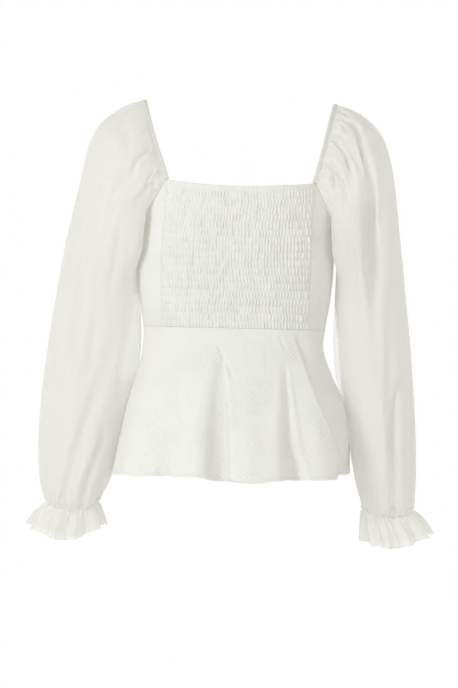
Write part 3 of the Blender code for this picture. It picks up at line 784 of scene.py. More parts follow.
# Within a row the gathers lean, by other amounts at other places
past_middle = add(shirring, MATH, [in_row, 0.5], operation="SUBTRACT")
tilt = add(shirring, MATH, [tilt, past_middle], operation="MULTIPLY")
twice_lean = add(shirring, MATH, [given["Lean"], 2.0], operation="MULTIPLY")
tilt = add(shirring, MATH, [tilt, twice_lean], operation="MULTIPLY")

# Which gather a point is in, and how far across it
count = add(shirring, MIX, {0: in_heading, 2: 1.0, 3: given["Heading gathers"]})
count = add(shirring, MATH, [count, given["Gathers"]], operation="MULTIPLY")
phase = add(shirring, MATH, [side, count], operation="MULTIPLY")
for part in (wander, jump, tilt):
    phase = add(shirring, MATH, [phase, part], operation="ADD")
gather = add(shirring, MATH, [phase], operation="FLOOR")
in_gather = add(shirring, MATH, [phase, gather], operation="SUBTRACT")

# How tall the puff is, and how far up its two slopes a point lies
spot = add(shirring, SPOT, [gather, row, given["Seed"]])
thrown = add(shirring, DICE, {0: spot}, noise_dimensions="3D").outputs["Value"]
tall = add(shirring, RANGE, {0: thrown, 3: given["Shortest puff"], 4: 1.0})
arches = []
for share, roundness in ((in_gather, RIDGE_ROUNDNESS), (in_row, SWELL_ROUNDNESS)):
    turn = add(shirring, MATH, [share, math.pi], operation="MULTIPLY")
    arch = add(shirring, MATH, [turn], operation="SINE")
    arches.append(add(shirring, MATH, [arch, roundness], operation="POWER"))
ridge, swell = arches
swell = add(shirring, MIX, {0: in_heading, 2: swell, 3: HEADING_SWELL})
swell = add(shirring, RANGE, {0: swell, 3: given["Elastic hold"], 4: 1.0})
to_right = add(shirring, MATH, [1.0, side], operation="SUBTRACT")
near_side = add(shirring, MATH, [side, to_right], operation="MINIMUM")
sewn_down = {0: near_side, 1: 0.0, 2: SEAM_FLATTENING}
edge = add(shirring, RANGE, sewn_down, interpolation_type="SMOOTHSTEP")
height = given["Puff height"]
for part in (tall, ridge, swell, edge):
    height = add(shirring, MATH, [height, part], operation="MULTIPLY")

# Out along the normal, and a little down, because a puff hangs over the elastic below it
outward = add(shirring, "GeometryNodeInputNormal")
push = add(shirring, VECTOR_MATH, {0: outward, 3: height}, operation="SCALE")
hang = add(shirring, SPOT, {2: add(shirring, MATH, [height, DROOP], operation="MULTIPLY")})
move = add(shirring, VECTOR_MATH, {0: push, 1: hang}, operation="ADD")
puffed = add(shirring, "GeometryNodeSetPosition", {"Geometry": given["Sheet"], "Offset": move})
finish_tree(shirring, puffed, given["Cotton"])

settle(back_panel, shirring, {**SHIRRING, "Cotton": shirred_cotton}, COTTON_THICKNESS)

# %% [markdown]
# ## Plain panels of the bodice
#
# The side backs and the front are plain cotton, cut to the body's form. Next to the shirring the
# elastic pulls the plain cloth into small puckers, one to a row. The front is shaped by a dart on
# each side, which is a wedge of cloth folded away and sewn from the waist up. Every seam sinks a
# little, because the stitches hold the cloth down there, and each piece laps a little under its
# neighbour, as it does along a real seam.

# %% Side backs and front
SIDE_BACK_COLUMNS = 26
SIDE_BACK_ROWS = 96
FRONT_COLUMNS = 210
FRONT_ROWS = 88
SEAM_SINK = 0.0006
SEAM_SOFTNESS = 0.0016
SEAM_LAP = 0.0014
PUCKER = 0.00008
PUCKER_REACH = 0.008
EDGE_SETTLING = 12
SIDE_LAP = 0.012


def panel_grid(start, end, top, bottom, columns, row_shares):
    """Points on the body between two side lines, given by height, and two edges, given by turn."""
    share = np.linspace(0.0, 1.0, columns + 1)
    ends = []
    for edge in (top, bottom):
        height = edge(start(np.full(share.shape, WAIST)))
        for _ in range(EDGE_SETTLING):
            height = edge(start(height) + (end(height) - start(height)) * share)
        ends.append(height)
    heights = ends[0] + (ends[1] - ends[0]) * np.asarray(row_shares)[:, None]
    turns = start(heights) + (end(heights) - start(heights)) * share
    return body_point(turns, heights)


def edge_sink(grid, sides="tblr"):
    """How deep the stitches sink a panel near the seams on its top, bottom, left and right."""
    down, across = walked(grid, 0), walked(grid, 1)
    away = {"t": down, "b": down[-1:] - down, "l": across, "r": across[:, -1:] - across}
    total = np.zeros(grid.shape[:2])
    for side in sides:
        total = np.maximum(total, SEAM_SINK * np.exp(-((away[side] / SEAM_SOFTNESS) ** 2)))
    return total


def pucker_by_seam(grid, seam_column):
    """Small waves beside a shirred seam, one for each row of elastic."""
    away = np.linalg.norm(grid - grid[:, seam_column][:, None], axis=2)
    pitch = (NECK_AT_BACK - WAIST) / ELASTIC_ROWS
    wave = np.cos(2 * math.pi * (grid[..., 2] - WAIST) / pitch)
    return PUCKER * wave * np.exp(-away / PUCKER_REACH)


def waist_top(turn):
    return np.full(np.shape(turn), WAIST)


def back_seam(height):
    return turn_at(np.full(np.shape(height), BACK_CORNER - SEAM_LAP), height)


def side_seam(height):
    return np.full(np.shape(height), SIDE)


def armhole_top(turn):
    return armhole_line_height(np.abs(turn))


plain_rows = np.linspace(0.0, 1.0, SIDE_BACK_ROWS + 1)
side_backs = {}
for name, start, end, seam_column, seam_edge in (
    ("side_back_right", back_seam, side_seam, 0, "l"),
    ("side_back_left", lambda h: -side_seam(h), lambda h: -back_seam(h), -1, "r"),
):
    grid = panel_grid(start, end, armhole_top, waist_top, SIDE_BACK_COLUMNS, plain_rows)
    grid = with_relief(grid, pucker_by_seam(grid, seam_column) - edge_sink(grid, seam_edge))
    side_backs[name] = cloth(name, grid, COTTON_THICKNESS, dobby_cotton)

# %% Front bodice with its darts
FRONT_CREASES = [
    Crease([(-60, -329), (-62, -280), (-60, -238)], 2.2, 2.2, 1.1, 0.02, 0.35),
    Crease([(60, -329), (62, -280), (60, -238)], 2.2, 2.2, 1.1, 0.02, 0.35),
    Crease([(-108, -196), (-96, -212), (-78, -222)], 5.0, 7.0, 1.6, 0.3, 0.6),
    Crease([(112, -192), (98, -206), (84, -226)], 5.0, 6.0, 1.9, 0.3, 0.6),
    Crease([(-120, -262), (-98, -272), (-80, -290)], 4.0, 6.0, 1.2, 0.4, 0.5),
    Crease([(118, -300), (100, -296), (82, -286)], 5.0, 4.0, 1.4, 0.4, 0.5),
    Crease([(-22, -318), (-16, -296), (-20, -262)], 6.0, 4.0, 0.9, 0.3, 0.6),
    Crease([(30, -322), (26, -300), (30, -272)], 4.0, 6.0, 1.0, 0.3, 0.6),
    Crease([(-100, -146), (-86, -158), (-66, -164)], 4.0, 6.0, 1.3, 0.2, 0.6),
    Crease([(98, -142), (84, -156), (60, -166)], 4.0, 5.0, 1.2, 0.2, 0.6),
]


def front_top(turn):
    from_front = np.where(turn <= math.pi, turn, 2 * math.pi - turn)
    corner = turn_at(FRONT_CORNER, NECK_AT_FRONT, front=True)
    neck = neck_height(from_front, front=True)
    return np.where(from_front < corner, armhole_line_height(from_front), neck)


grid = panel_grid(
    lambda h: np.full(np.shape(h), SIDE - SIDE_LAP),
    lambda h: np.full(np.shape(h), 3 * SIDE + SIDE_LAP),
    front_top, waist_top, FRONT_COLUMNS, np.linspace(0.0, 1.0, FRONT_ROWS + 1),
)
grid = with_relief(grid, -edge_sink(grid, "lr") - crease_sink(grid, FRONT_CREASES))
front_bodice = cloth("front_bodice_panel", grid, COTTON_THICKNESS, dobby_cotton)

# %% [markdown]
# ## Peplum
#
# The peplum is cut on a curve: its top edge is as long as the waist seam and its hem much longer,
# so it falls in flutes. The form has the flutes. What is added here is how the cloth breaks at
# their tops, where thin drag lines run down from the seam, and the hem, which is turned up by
# 3 mm only, with a line of stitches above it.

# %% Peplum, back and front
PEPLUM_ROWS = 96
ABOVE_HEM = 0.955
HEM_START = 0.96
HEM_ROWS = 12
PEPLUM_BACK_COLUMNS = 270
PEPLUM_FRONT_COLUMNS = 200
HEM_DEPTH = 0.0030
HEM_RISE = 0.0006
HEM_STITCH_SINK = 0.0003
HEM_EDGE = 0.0008
HEM_SEAM = 0.0010
BACK_DRAGS = [
    Crease([(-24, -350), (-21, -359), (-12, -377), (-2, -397), (8, -418)],
           1.6, 3.2, 1.7, 0.25, 0.45),
    Crease([(-16, -362), (-15, -400), (-14, -450), (-12, -542)], 4.0, 1.5, 2.2, 0.14, 0.0, 5.0),
    Crease([(62, -336), (66, -343), (72, -357), (79, -371)], 1.6, 2.6, 1.2, 0.2, 0.5),
    Crease([(73, -368), (78, -420), (80, -450), (83, -490), (91, -524), (93, -542)],
           3.8, 1.5, 2.4, 0.15, 0.0, 5.0),
    Crease([(86, -334), (97, -359), (119, -412), (146, -468), (172, -530)],
           2.0, 6.0, 2.0, 0.08, 0.05, 2.5),
    Crease([(-64, -372), (-74, -414), (-82, -462), (-90, -542)], 5.0, 3.0, 1.2, 0.2, 0.0, 2.6),
    Crease([(-104, -546), (-100, -534), (-97, -518)], 1.6, 3.4, 2.4, 0.02, 0.6),
    Crease([(-58, -396), (-62, -420), (-60, -446)], 3.0, 2.0, 0.7, 0.3, 0.5),
    Crease([(20, -338), (17, -352), (19, -372)], 2.0, 2.0, 0.5, 0.3, 0.6),
    Crease([(44, -345), (47, -372), (44, -404)], 3.0, 3.0, 0.5, 0.3, 0.5),
]
FRONT_DRAGS = [
    Crease([(58, -345), (50, -372), (42, -408)], 2.0, 3.6, 1.5, 0.2, 0.5),
    Crease([(-62, -342), (-56, -368), (-50, -402)], 3.4, 2.0, 1.4, 0.2, 0.5),
    Crease([(84, -356), (92, -410), (98, -530)], 4.0, 3.0, 2.2, 0.2, 0.05),
    Crease([(-88, -360), (-94, -420), (-98, -532)], 3.0, 4.5, 2.0, 0.2, 0.05),
    Crease([(2, -352), (-4, -400), (-3, -532)], 4.0, 3.0, 1.8, 0.2, 0.05),
]


def peplum_top(turn):
    return np.full(np.shape(turn), WAIST + SEAM_LAP)


def hem_relief(grid):
    above = walked(grid[::-1], 0)[::-1]
    band = HEM_RISE * smooth_step((HEM_DEPTH + HEM_EDGE - above) / HEM_EDGE)
    sunk = np.exp(-(((above - HEM_DEPTH - HEM_SEAM) / HEM_SEAM) ** 2))
    return band - HEM_STITCH_SINK * sunk


# The rows lie closer together over the hem's turning
above_hem = np.linspace(0.0, ABOVE_HEM, PEPLUM_ROWS + 1 - HEM_ROWS)
fine_hem = np.concatenate([above_hem, np.linspace(HEM_START, 1.0, HEM_ROWS)])
side_in_front, far_side = SIDE - SIDE_LAP, 3 * SIDE + SIDE_LAP
peplum_pieces = {}
for name, first, last, columns, creases, under in (
    ("peplum_back_panel", -SIDE, SIDE, PEPLUM_BACK_COLUMNS, BACK_DRAGS, "t"),
    ("peplum_front_panel", side_in_front, far_side, PEPLUM_FRONT_COLUMNS, FRONT_DRAGS, "tlr"),
):
    grid = panel_grid(
        lambda h: np.full(np.shape(h), first), lambda h: np.full(np.shape(h), last),
        peplum_top, hem_line, columns, fine_hem,
    )
    relief = hem_relief(grid) - edge_sink(grid, under) - crease_sink(grid, creases)
    grid = with_relief(grid, relief)
    peplum_pieces[name] = (cloth(name, grid, COTTON_THICKNESS, dobby_cotton), grid)
peplum_back, back_hem_grid = peplum_pieces["peplum_back_panel"]
peplum_front, front_hem_grid = peplum_pieces["peplum_front_panel"]

# %% [markdown]
# ## Neck binding
#
# From each back corner a narrow binding runs over the shoulder to the front corner. It is a strip
# of cloth folded over the gathered edge of the sleeve head: a flat band with a rounded fold on the
# neck's side. So its section is a U lying down, carried along the neck edge. The line is worked
# out for the right side, and the left side is its mirror image.

# %% Neck binding
Step = namedtuple("Step", "lean reach drop")
NECK_EDGE = [
    Step(0.00, 0.00, 0.00), Step(0.10, 0.36, 0.10), Step(0.32, 0.72, 0.34),
    Step(0.64, 0.97, 0.66), Step(1.00, 1.00, 1.00),
]
BINDING_WIDTH = 0.0036
BINDING_OVER_SLEEVE = 0.0032
BINDING_TOP = 0.0009
BINDING_BOTTOM = -0.0016
BINDING_CLOTH = 0.0006
BINDING_STEPS = 66
CURVE_STEPS = 24
FOLD_STEPS = 9
EDGE_TUCK = 0.3
EDGE_ROUND = 0.6
STITCHES_IN = 0.3
STRAP_SHARE = 11
UNDER_SHARE = 7


def even_line(points, count):
    """Points at even spacing on a smooth curve through the given points."""
    curve = smooth_path(points, CURVE_STEPS)
    lengths = walked(curve, 0)
    places = np.linspace(0.0, lengths[-1], count)
    return np.stack([np.interp(places, lengths, curve[:, k]) for k in range(3)], axis=1)


def neck_edge(front):
    x, height = (FRONT_CORNER, NECK_AT_FRONT) if front else (BACK_CORNER, NECK_AT_BACK)
    corner = body_point(turn_at(x, height, front), height)
    sign = 1.0 if front else -1.0
    lean, reach, drop = SHOULDER - corner[0], abs(corner[1]), corner[2]
    steps = [(SHOULDER - s.lean * lean, sign * s.reach * reach, s.drop * drop) for s in NECK_EDGE]
    return np.array(steps)


def mirrored(grid, side):
    """A grid as it is for the right side, and turned over for the left."""
    return grid if side == "R" else grid[:, ::-1] * np.array([-1.0, 1.0, 1.0])


back_line = even_line(neck_edge(False), BINDING_STEPS + 1)
front_line = even_line(neck_edge(True), BINDING_STEPS + 1)
line = np.concatenate([back_line[::-1], front_line[1:]])
tangents = np.gradient(line, axis=0)
tangents /= np.linalg.norm(tangents, axis=1, keepdims=True)
to_neck = np.array([-1.0, 0.0, 0.0]) + tangents * tangents[:, :1]
to_neck /= np.linalg.norm(to_neck, axis=1, keepdims=True)
outward = np.cross(tangents, to_neck)

half_height = (BINDING_TOP - BINDING_BOTTOM) / 2
mid_height = (BINDING_TOP + BINDING_BOTTOM) / 2
fold_turns = np.linspace(math.pi / 2, -math.pi / 2, FOLD_STEPS)
fold_start = BINDING_WIDTH - half_height
profile = [
    (-BINDING_OVER_SLEEVE, -BINDING_TOP * EDGE_TUCK),
    (-BINDING_OVER_SLEEVE * EDGE_ROUND, BINDING_TOP), (fold_start / 2, BINDING_TOP),
]
for turn in fold_turns:
    in_fold = (fold_start + half_height * math.cos(turn), mid_height + half_height * math.sin(turn))
    profile.append(in_fold)
profile += [(fold_start / 2, BINDING_BOTTOM), (0.0, BINDING_BOTTOM)]
band = np.stack([line + to_neck * width + outward * rise for width, rise in profile], axis=1)
binding_edge = line + to_neck * (BINDING_WIDTH * STITCHES_IN) + outward * BINDING_TOP
bindings = {}
for side in ("L", "R"):
    name = "neck_binding_" + side
    bindings[side] = cloth(name, mirrored(band, side), BINDING_CLOTH, binding_cotton)

# %% [markdown]
# ## Sleeves
#
# A sleeve is a wide tube of chiffon. Its head is gathered into the neck binding and the armhole,
# and its end is drawn in at the wrist, so it balloons in between. A table of sections gives the
# tube: each joins an outer and an inner edge point. The head blends from the loop that it is sewn
# to into these sections, and its edge laps a little on the body. Beside the underarm the full
# cloth puffs back over the armhole seam, and at the wrist the elastic hangs lower in the middle.

# %% Sleeve form
# Outer x and z, inner x and z, half depth, middle y, for the right side
SLEEVE = np.array([
    (0.1385, 0.0000, 0.1420, -0.1950, 0.0900, 0.000),
    (0.1550, -0.0040, 0.1465, -0.1975, 0.0970, 0.000),
    (0.1770, -0.0155, 0.1475, -0.2040, 0.0995, 0.000),
    (0.1965, -0.0310, 0.1470, -0.2140, 0.0985, 0.000),
    (0.2110, -0.0520, 0.1460, -0.2260, 0.0955, 0.000),
    (0.2205, -0.0800, 0.1450, -0.2400, 0.0920, 0.001),
    (0.2275, -0.1180, 0.1440, -0.2570, 0.0880, 0.002),
    (0.2360, -0.1650, 0.1430, -0.2790, 0.0840, 0.004),
    (0.2450, -0.2170, 0.1420, -0.3070, 0.0800, 0.007),
    (0.2525, -0.2710, 0.1410, -0.3380, 0.0775, 0.010),
    (0.2605, -0.3270, 0.1430, -0.3730, 0.0760, 0.014),
    (0.2670, -0.3830, 0.1490, -0.4100, 0.0760, 0.017),
    (0.2720, -0.4360, 0.1570, -0.4480, 0.0750, 0.019),
    (0.2750, -0.4840, 0.1660, -0.4860, 0.0730, 0.020),
    (0.2755, -0.5240, 0.1740, -0.5220, 0.0680, 0.020),
    (0.2740, -0.5540, 0.1805, -0.5500, 0.0590, 0.020),
    (0.2710, -0.5740, 0.1880, -0.5710, 0.0470, 0.020),
    (0.2670, -0.5860, 0.1930, -0.5850, 0.0320, 0.020),
])
LAST_RING = len(SLEEVE) - 1
SLEEVE_TABLE = np.column_stack([np.arange(len(SLEEVE)), SLEEVE])
HEAD_BLEND_RINGS = 5
LOOP_SHIFT = 0.00024
SLEEVE_CLEAR = 0.0022
CLEAR_STEP = 0.0012
EDGE_GAP = 0.0003
OUTER_SWAY = {"L": 0.0070, "R": -0.0070}
INNER_SWAY = {"L": -0.0080, "R": 0.0030}
SWAY_LEAN = 2.0
PUFF_OVER = np.array([-0.016, -0.018, 0.0])
PUFF_ANGLE = 216
PUFF_SPREAD = 22.0
PUFF_START = 1.6
PUFF_TOP = -0.130
PUFF_TOP_FADE = 0.07
PUFF_BOTTOM = -0.262
PUFF_BOTTOM_FADE = 0.05
ARMHOLE_LAP = 0.0016
LAP_RINGS = 0.4
LAP_START = 1.5
WRIST_HANG = 0.0115
WRIST_HANG_START = 13.5
WRIST_HOLD = 0.5

# Side, first and last ring, angle at each, half width in degrees and depth. Angles go from the
# outer edge over the front.
SLEEVE_FOLDS = [
    ("R", 1, 10, 290, 272, 15, 0.0085), ("R", 4, 10, 248, 244, 12, 0.0050),
    ("R", 9, 17, 300, 262, 15, 0.0075), ("R", 10, 17, 335, 318, 14, 0.0050),
    ("R", 3, 11, 62, 84, 15, 0.0070), ("R", 9, 17, 110, 88, 15, 0.0070),
    ("L", 1, 8, 262, 276, 15, 0.0070), ("L", 5, 12, 300, 296, 14, 0.0045),
    ("L", 10, 17, 246, 288, 15, 0.0080), ("L", 11, 17, 322, 330, 14, 0.0050),
    ("L", 3, 11, 92, 70, 15, 0.0070), ("L", 9, 17, 64, 96, 15, 0.0065),
]
FOLD_TIP = 0.08
FINER = 8
ARMHOLE_POINTS = 7


def armhole_points(front):
    if front:
        corner = turn_at(FRONT_CORNER, NECK_AT_FRONT, front=True)
    else:
        corner = turn_at(BACK_CORNER, NECK_AT_BACK)
    turns = np.linspace(corner, SIDE, ARMHOLE_POINTS)
    return body_point(turns, armhole_line_height(turns))


def sleeve_opening():
    """The loop that the sleeve is sewn to: shoulder, front, underarm, back."""
    front = even_line(neck_edge(True), STRAP_SHARE * FINER + 1)
    front_hole = even_line(armhole_points(True), UNDER_SHARE * FINER + 1)
    back = even_line(neck_edge(False), STRAP_SHARE * FINER + 1)
    back_hole = even_line(armhole_points(False), UNDER_SHARE * FINER + 1)
    return np.concatenate([front[:-1], front_hole[:-1], back_hole[::-1][:-1], back[::-1][:-1]])


def lap_on_body(loop):
    """How far the sleeve's edge reaches past the armhole seam, on to the body."""
    outward = loop * np.array([1.0, 1.0, 0.0])
    away = np.cross(outward, np.roll(loop, -1, axis=0) - np.roll(loop, 1, axis=0))
    away /= np.linalg.norm(away, axis=1, keepdims=True)
    place = np.arange(len(loop))
    first, last = STRAP_SHARE * FINER, (STRAP_SHARE + 2 * UNDER_SHARE) * FINER
    to_end = np.minimum(place - first, last - place)
    return away * (ARMHOLE_LAP * smooth_step(to_end / (LAP_START * FINER)))[:, None]


def ring_points(table, angles):
    """Sections of a table with a row for each ring, at angles in degrees."""
    turn = np.radians(angles)
    outer = np.stack([table[:, 0], table[:, 5], table[:, 1]], axis=1)[:, None]
    inner = np.stack([table[:, 2], table[:, 5], table[:, 3]], axis=1)[:, None]
    points = (outer + inner) / 2 + (outer - inner) / 2 * np.cos(turn)[..., None]
    points[..., 1] += table[:, 4][:, None] * np.sin(turn)
    return points


def sleeve_form(side, rings, angles):
    table = smooth_rows(SLEEVE_TABLE, rings)[:, 1:]
    sway = np.sin(np.pi * (rings / LAST_RING) ** SWAY_LEAN)
    table[:, 0] += OUTER_SWAY[side] * sway
    table[:, 2] += INNER_SWAY[side] * sway
    blend = np.minimum(rings / HEAD_BLEND_RINGS, 1.0)
    blend = (blend * (2.0 - blend))[:, None, None]
    loop = sleeve_opening() + np.array([LOOP_SHIFT, 0.0, LOOP_SHIFT])
    lap = lap_on_body(loop) * (1.0 - smooth_step(rings / LAP_RINGS))[:, None, None]
    from_loop = loop - ring_points(SLEEVE[:1], angles)
    return ring_points(table, angles) + from_loop * (1.0 - blend) + lap


def fold_sink(side, rings, angles):
    total = np.zeros((len(rings), angles.shape[-1]))
    for of_side, first, last, angle_in, angle_out, half_width, depth in SLEEVE_FOLDS:
        if of_side == side:
            share = (rings - first) / (last - first)
            along = np.sin(np.pi * np.clip(share, FOLD_TIP, 1.0 - FOLD_TIP))
            fade_in = smooth_step((share + FOLD_TIP) / FOLD_TIP)
            fade = fade_in * smooth_step((1.0 + FOLD_TIP - share) / FOLD_TIP)
            middle = angle_in + (angle_out - angle_in) * np.clip(share, 0.0, 1.0)
            across = rounded(around(angles, middle[:, None]), half_width)
            total += depth * (along * fade)[:, None] * across
    return total


def puff_over_seam(grid, rings, angles):
    """Beside the underarm the full sleeve bulges back and over the armhole seam."""
    share = np.exp(-((around(angles, PUFF_ANGLE) / PUFF_SPREAD) ** 2))
    share = share * smooth_step(rings / PUFF_START)[:, None]
    share = share * smooth_step((PUFF_TOP - grid[..., 2]) / PUFF_TOP_FADE)
    share = share * smooth_step((grid[..., 2] - PUFF_BOTTOM) / PUFF_BOTTOM_FADE)
    return grid + PUFF_OVER * share[..., None]


def hang_at_wrist(points, rings, angles, drop):
    """The elastic hangs lower at the back and the front than at its sides."""
    points = points.copy()
    share = smooth_step((rings - WRIST_HANG_START) / (LAST_RING - WRIST_HANG_START))
    points[..., 2] -= drop * share[:, None] * np.sin(np.radians(angles)) ** 2
    return points


def clear_of_body(grid, side, gaps):
    turn = np.arctan2(grid[..., 0], -grid[..., 1]) * (1.0 if side == "R" else -1.0)
    radius = np.hypot(grid[..., 0], grid[..., 1])
    wanted = np.where(grid[..., 2] > NECK_AT_BACK, 0.0, body_radius(turn, grid[..., 2]) + gaps)
    scale = np.maximum(wanted / radius, 1.0)
    return grid * np.stack([scale, scale, np.ones_like(scale)], axis=-1)


# %% [markdown]
# ## Gathers of the sleeve
#
# Where a wide edge is drawn into a short seam, the cloth leaves it in gathers: each starts at the
# seam, swells, and runs out after a few centimetres, some long and some short. The list of them
# is drawn at random with a fixed seed. The long creases that the arm's weight and bend make are
# listed one by one, each with its own length and width, and so is what lies on the front.

# %% Gathers and creases of the sleeves
AROUND_SLEEVE = 36 * FINER
SLEEVE_SEED = {"L": 5, "R": 8}

# The rings lie closer together at the head and at the wrist
head_rings, middle_rings = np.linspace(0, 6, 56)[:-1], np.linspace(6, 14, 40)[:-1]
RINGS = np.concatenate([head_rings, middle_rings, np.linspace(14, 17, 30)])

# How many, the ring that they leave and which way, then the least and most of their depth in
# metres, length in rings and slant in columns
Gathers = namedtuple("Gathers", "count start direction depths lengths falls")
HEAD_GATHERS = Gathers(70, 0.0, 1.0, (0.0008, 0.0034), (1.6, 7.0), (8.0, 26.0))
WRIST_GATHERS = Gathers(42, LAST_RING, -1.0, (0.0008, 0.0030), (0.5, 3.2), (-6.0, 6.0))
GATHER_PLACE = (0.2, 0.8)
GATHER_WIDTH = (0.30, 0.62)
OUTWARD_SHARE = 0.6
INWARD = -0.8
SHORTER = (0.5, 1.0)
GATHER_LEAD = 0.06
GATHER_RISE = 4.0
RUMPLE = 0.0006
RUMPLE_WAVES = 6
RUMPLE_TURNS = (3, 9)
RUMPLE_SLANT = (-0.5, 0.5)
RUMPLE_START = (0, 6.3)
RUMPLE_RINGS = 3.0
GATHER_RAMP = 2.0
CREASE_RAMP = 1.2
FACE_START = 0.05
FACE_BLEND = 0.4

# The creases that the photograph shows, on each sleeve's back half, and the front's
CREASES_BACK = {
    "R": [
        Crease([(146, -24), (156, -32), (164, -41), (169, -56), (172, -75), (176, -94),
                (179, -114), (181, -130), (183, -146), (185, -180), (188, -202), (192, -237),
                (196, -272)], 1.7, 4.0, 9.0, 0.08, 0.35, 1.5),
        Crease([(176, -98), (181, -130), (185, -164), (187, -202), (192, -237), (196, -272),
                (199, -305)],
               6.5, 13.0, 12.5, 0.35, 0.4, 1.2),
        Crease([(184, -38), (191, -60), (196, -82), (200, -112), (202, -140), (204, -170),
                (207, -205)],
               3.0, 6.0, 5.0, 0.2, 0.4, 1.3),
        Crease([(164, -17), (175, -24), (182, -32), (187, -37), (191, -44)],
               1.6, 3.0, 5.0, 0.2, 0.35),
        Crease([(142, -9), (150, -16), (162, -26)], 1.1, 1.6, 2.2, 0.2, 0.4),
        Crease([(139, -19), (148, -25), (157, -36)], 1.1, 1.6, 2.0, 0.2, 0.4),
        Crease([(131, -54), (138, -64), (147, -80), (152, -94), (155, -108), (157, -124)],
               1.8, 3.0, 6.0, 0.12, 0.45),
        Crease([(130, -75), (143, -98), (150, -124), (152, -150)], 3.4, 3.0, -2.6, 0.2, 0.5),
        Crease([(119, -90), (124, -98), (130, -109), (133, -126), (135, -142)],
               1.6, 2.6, 5.5, 0.12, 0.45),
        Crease([(132, -101), (138, -110), (146, -128), (152, -150), (156, -175)],
               2.0, 3.4, 4.4, 0.15, 0.5),
        Crease([(137, -130), (140, -144), (142, -179)], 2.6, 3.6, 2.8, 0.3, 0.5),
        Crease([(144, -30), (150, -42), (152, -60)], 1.8, 2.4, 1.8, 0.2, 0.5),
        Crease([(137, -40), (145, -52), (152, -70)], 1.8, 2.4, 1.6, 0.2, 0.5),
        Crease([(244, -388), (231, -424), (227, -482), (233, -553), (237, -605)],
               3.0, 6.0, 6.4, 0.15, 0.03, 1.2),
        Crease([(262, -562), (256, -580), (248, -604)], 2.4, 3.0, 5.0, 0.3, 0.03),
        Crease([(240, -388), (252, -392), (262, -389)], 1.6, 2.2, 1.8, 0.3, 0.5),
        Crease([(208, -500), (212, -540), (218, -600)], 3.0, 4.0, 1.6, 0.4, 0.05),
        Crease([(186, -330), (178, -352), (172, -380)], 4.0, 6.0, 1.4, 0.3, 0.5),
        Crease([(224, -240), (222, -280), (226, -320)], 4.0, 5.0, 1.2, 0.4, 0.5),
    ],
    "L": [
        Crease([(-123, -70), (-132, -81), (-147, -95), (-152, -112), (-155, -131)],
               2.8, 3.6, 4.4, 0.12, 0.5),
        Crease([(-115, -95), (-127, -113), (-134, -134), (-144, -149), (-149, -168)],
               2.8, 3.6, 4.6, 0.12, 0.5),
        Crease([(-113, -111), (-122, -119), (-124, -136), (-128, -156)], 2.2, 3.2, 3.6, 0.15, 0.5),
        Crease([(-159, -40), (-158, -66), (-158, -94)], 8.0, 4.0, 2.6, 0.3, 0.5),
        Crease([(-168, -28), (-171, -44), (-171, -64)], 3.0, 3.0, 1.4, 0.3, 0.5),
        Crease([(-184, -470), (-192, -506), (-208, -550), (-223, -600)], 3.6, 5.6, 6.4, 0.2, 0.03),
        Crease([(-176, -535), (-188, -566), (-198, -600)], 2.8, 4.0, 5.6, 0.3, 0.03),
        Crease([(-186, -60), (-194, -110), (-200, -180), (-206, -240)], 6.0, 7.5, 4.0, 0.25, 0.5),
        Crease([(-218, -250), (-226, -320), (-236, -390), (-240, -470)], 6.0, 6.0, 2.8, 0.4, 0.5),
        Crease([(-196, -300), (-202, -360), (-214, -430)], 6.0, 8.0, 2.8, 0.3, 0.5),
        Crease([(-240, -560), (-246, -576), (-250, -592)], 2.0, 2.6, 2.0, 0.3, 0.05),
        Crease([(-166, -190), (-172, -240), (-182, -300)], 5.0, 5.0, 2.6, 0.3, 0.5),
    ],
}
CREASES_FRONT = {
    "R": [
        Crease([(165, -30), (176, -90), (184, -160), (190, -230)], 4.0, 6.0, 3.2, 0.15, 0.5),
        Crease([(128, -78), (140, -104), (152, -134)], 2.4, 3.4, 2.2, 0.15, 0.5),
        Crease([(236, -400), (226, -470), (230, -550), (236, -590)], 3.4, 5.0, 2.6, 0.25, 0.1),
        Crease([(204, -560), (212, -574), (220, -588)], 2.2, 2.8, 1.6, 0.3, 0.1),
    ],
    "L": [
        Crease([(-160, -26), (-172, -92), (-180, -170), (-186, -250)], 6.0, 4.0, 3.0, 0.15, 0.5),
        Crease([(-124, -74), (-138, -104), (-150, -130)], 3.4, 2.4, 2.4, 0.15, 0.5),
        Crease([(-238, -430), (-228, -500), (-230, -560), (-238, -590)], 5.0, 3.4, 2.6, 0.25, 0.1),
        Crease([(-200, -556), (-210, -572), (-216, -588)], 2.8, 2.2, 1.6, 0.3, 0.1),
    ],
}


def gather_ridges(draw, gathers, rings, places, total):
    """Many small gathers that leave one seam: a height at each ring and place round the sleeve."""
    height = np.zeros((len(rings), total))
    for k in range(gathers.count):
        middle = (k + draw.uniform(*GATHER_PLACE)) * total / gathers.count
        width = total / gathers.count * draw.uniform(*GATHER_WIDTH)
        depth = draw.uniform(*gathers.depths) * (1.0 if draw.random() < OUTWARD_SHARE else INWARD)
        length = draw.uniform(*gathers.lengths) * draw.uniform(*SHORTER)
        drift = draw.uniform(*gathers.falls) * math.sin(2 * math.pi * middle / total)
        along = (rings - gathers.start) * gathers.direction / length
        rise = smooth_step((along + GATHER_LEAD) * GATHER_RISE) * smooth_step(1.0 - along)
        rise = rise * (along > -GATHER_LEAD)
        gone = (places[None] - middle - drift * along[:, None] + total / 2) % total - total / 2
        height += depth * rise[:, None] * np.exp(-((gone / width) ** 2))
    return height


def rumple(draw, rings, places, total, waves):
    """Slow shallow unevenness, a sum of a few waves that close round the tube."""
    height = np.zeros((len(rings), total))
    for _ in range(waves):
        turns = draw.randint(*RUMPLE_TURNS)
        slant = draw.uniform(*RUMPLE_SLANT) * rings[:, None]
        start = draw.uniform(*RUMPLE_START)
        height += np.sin(2 * np.pi * turns * places[None] / total + slant + start)
    return height / waves


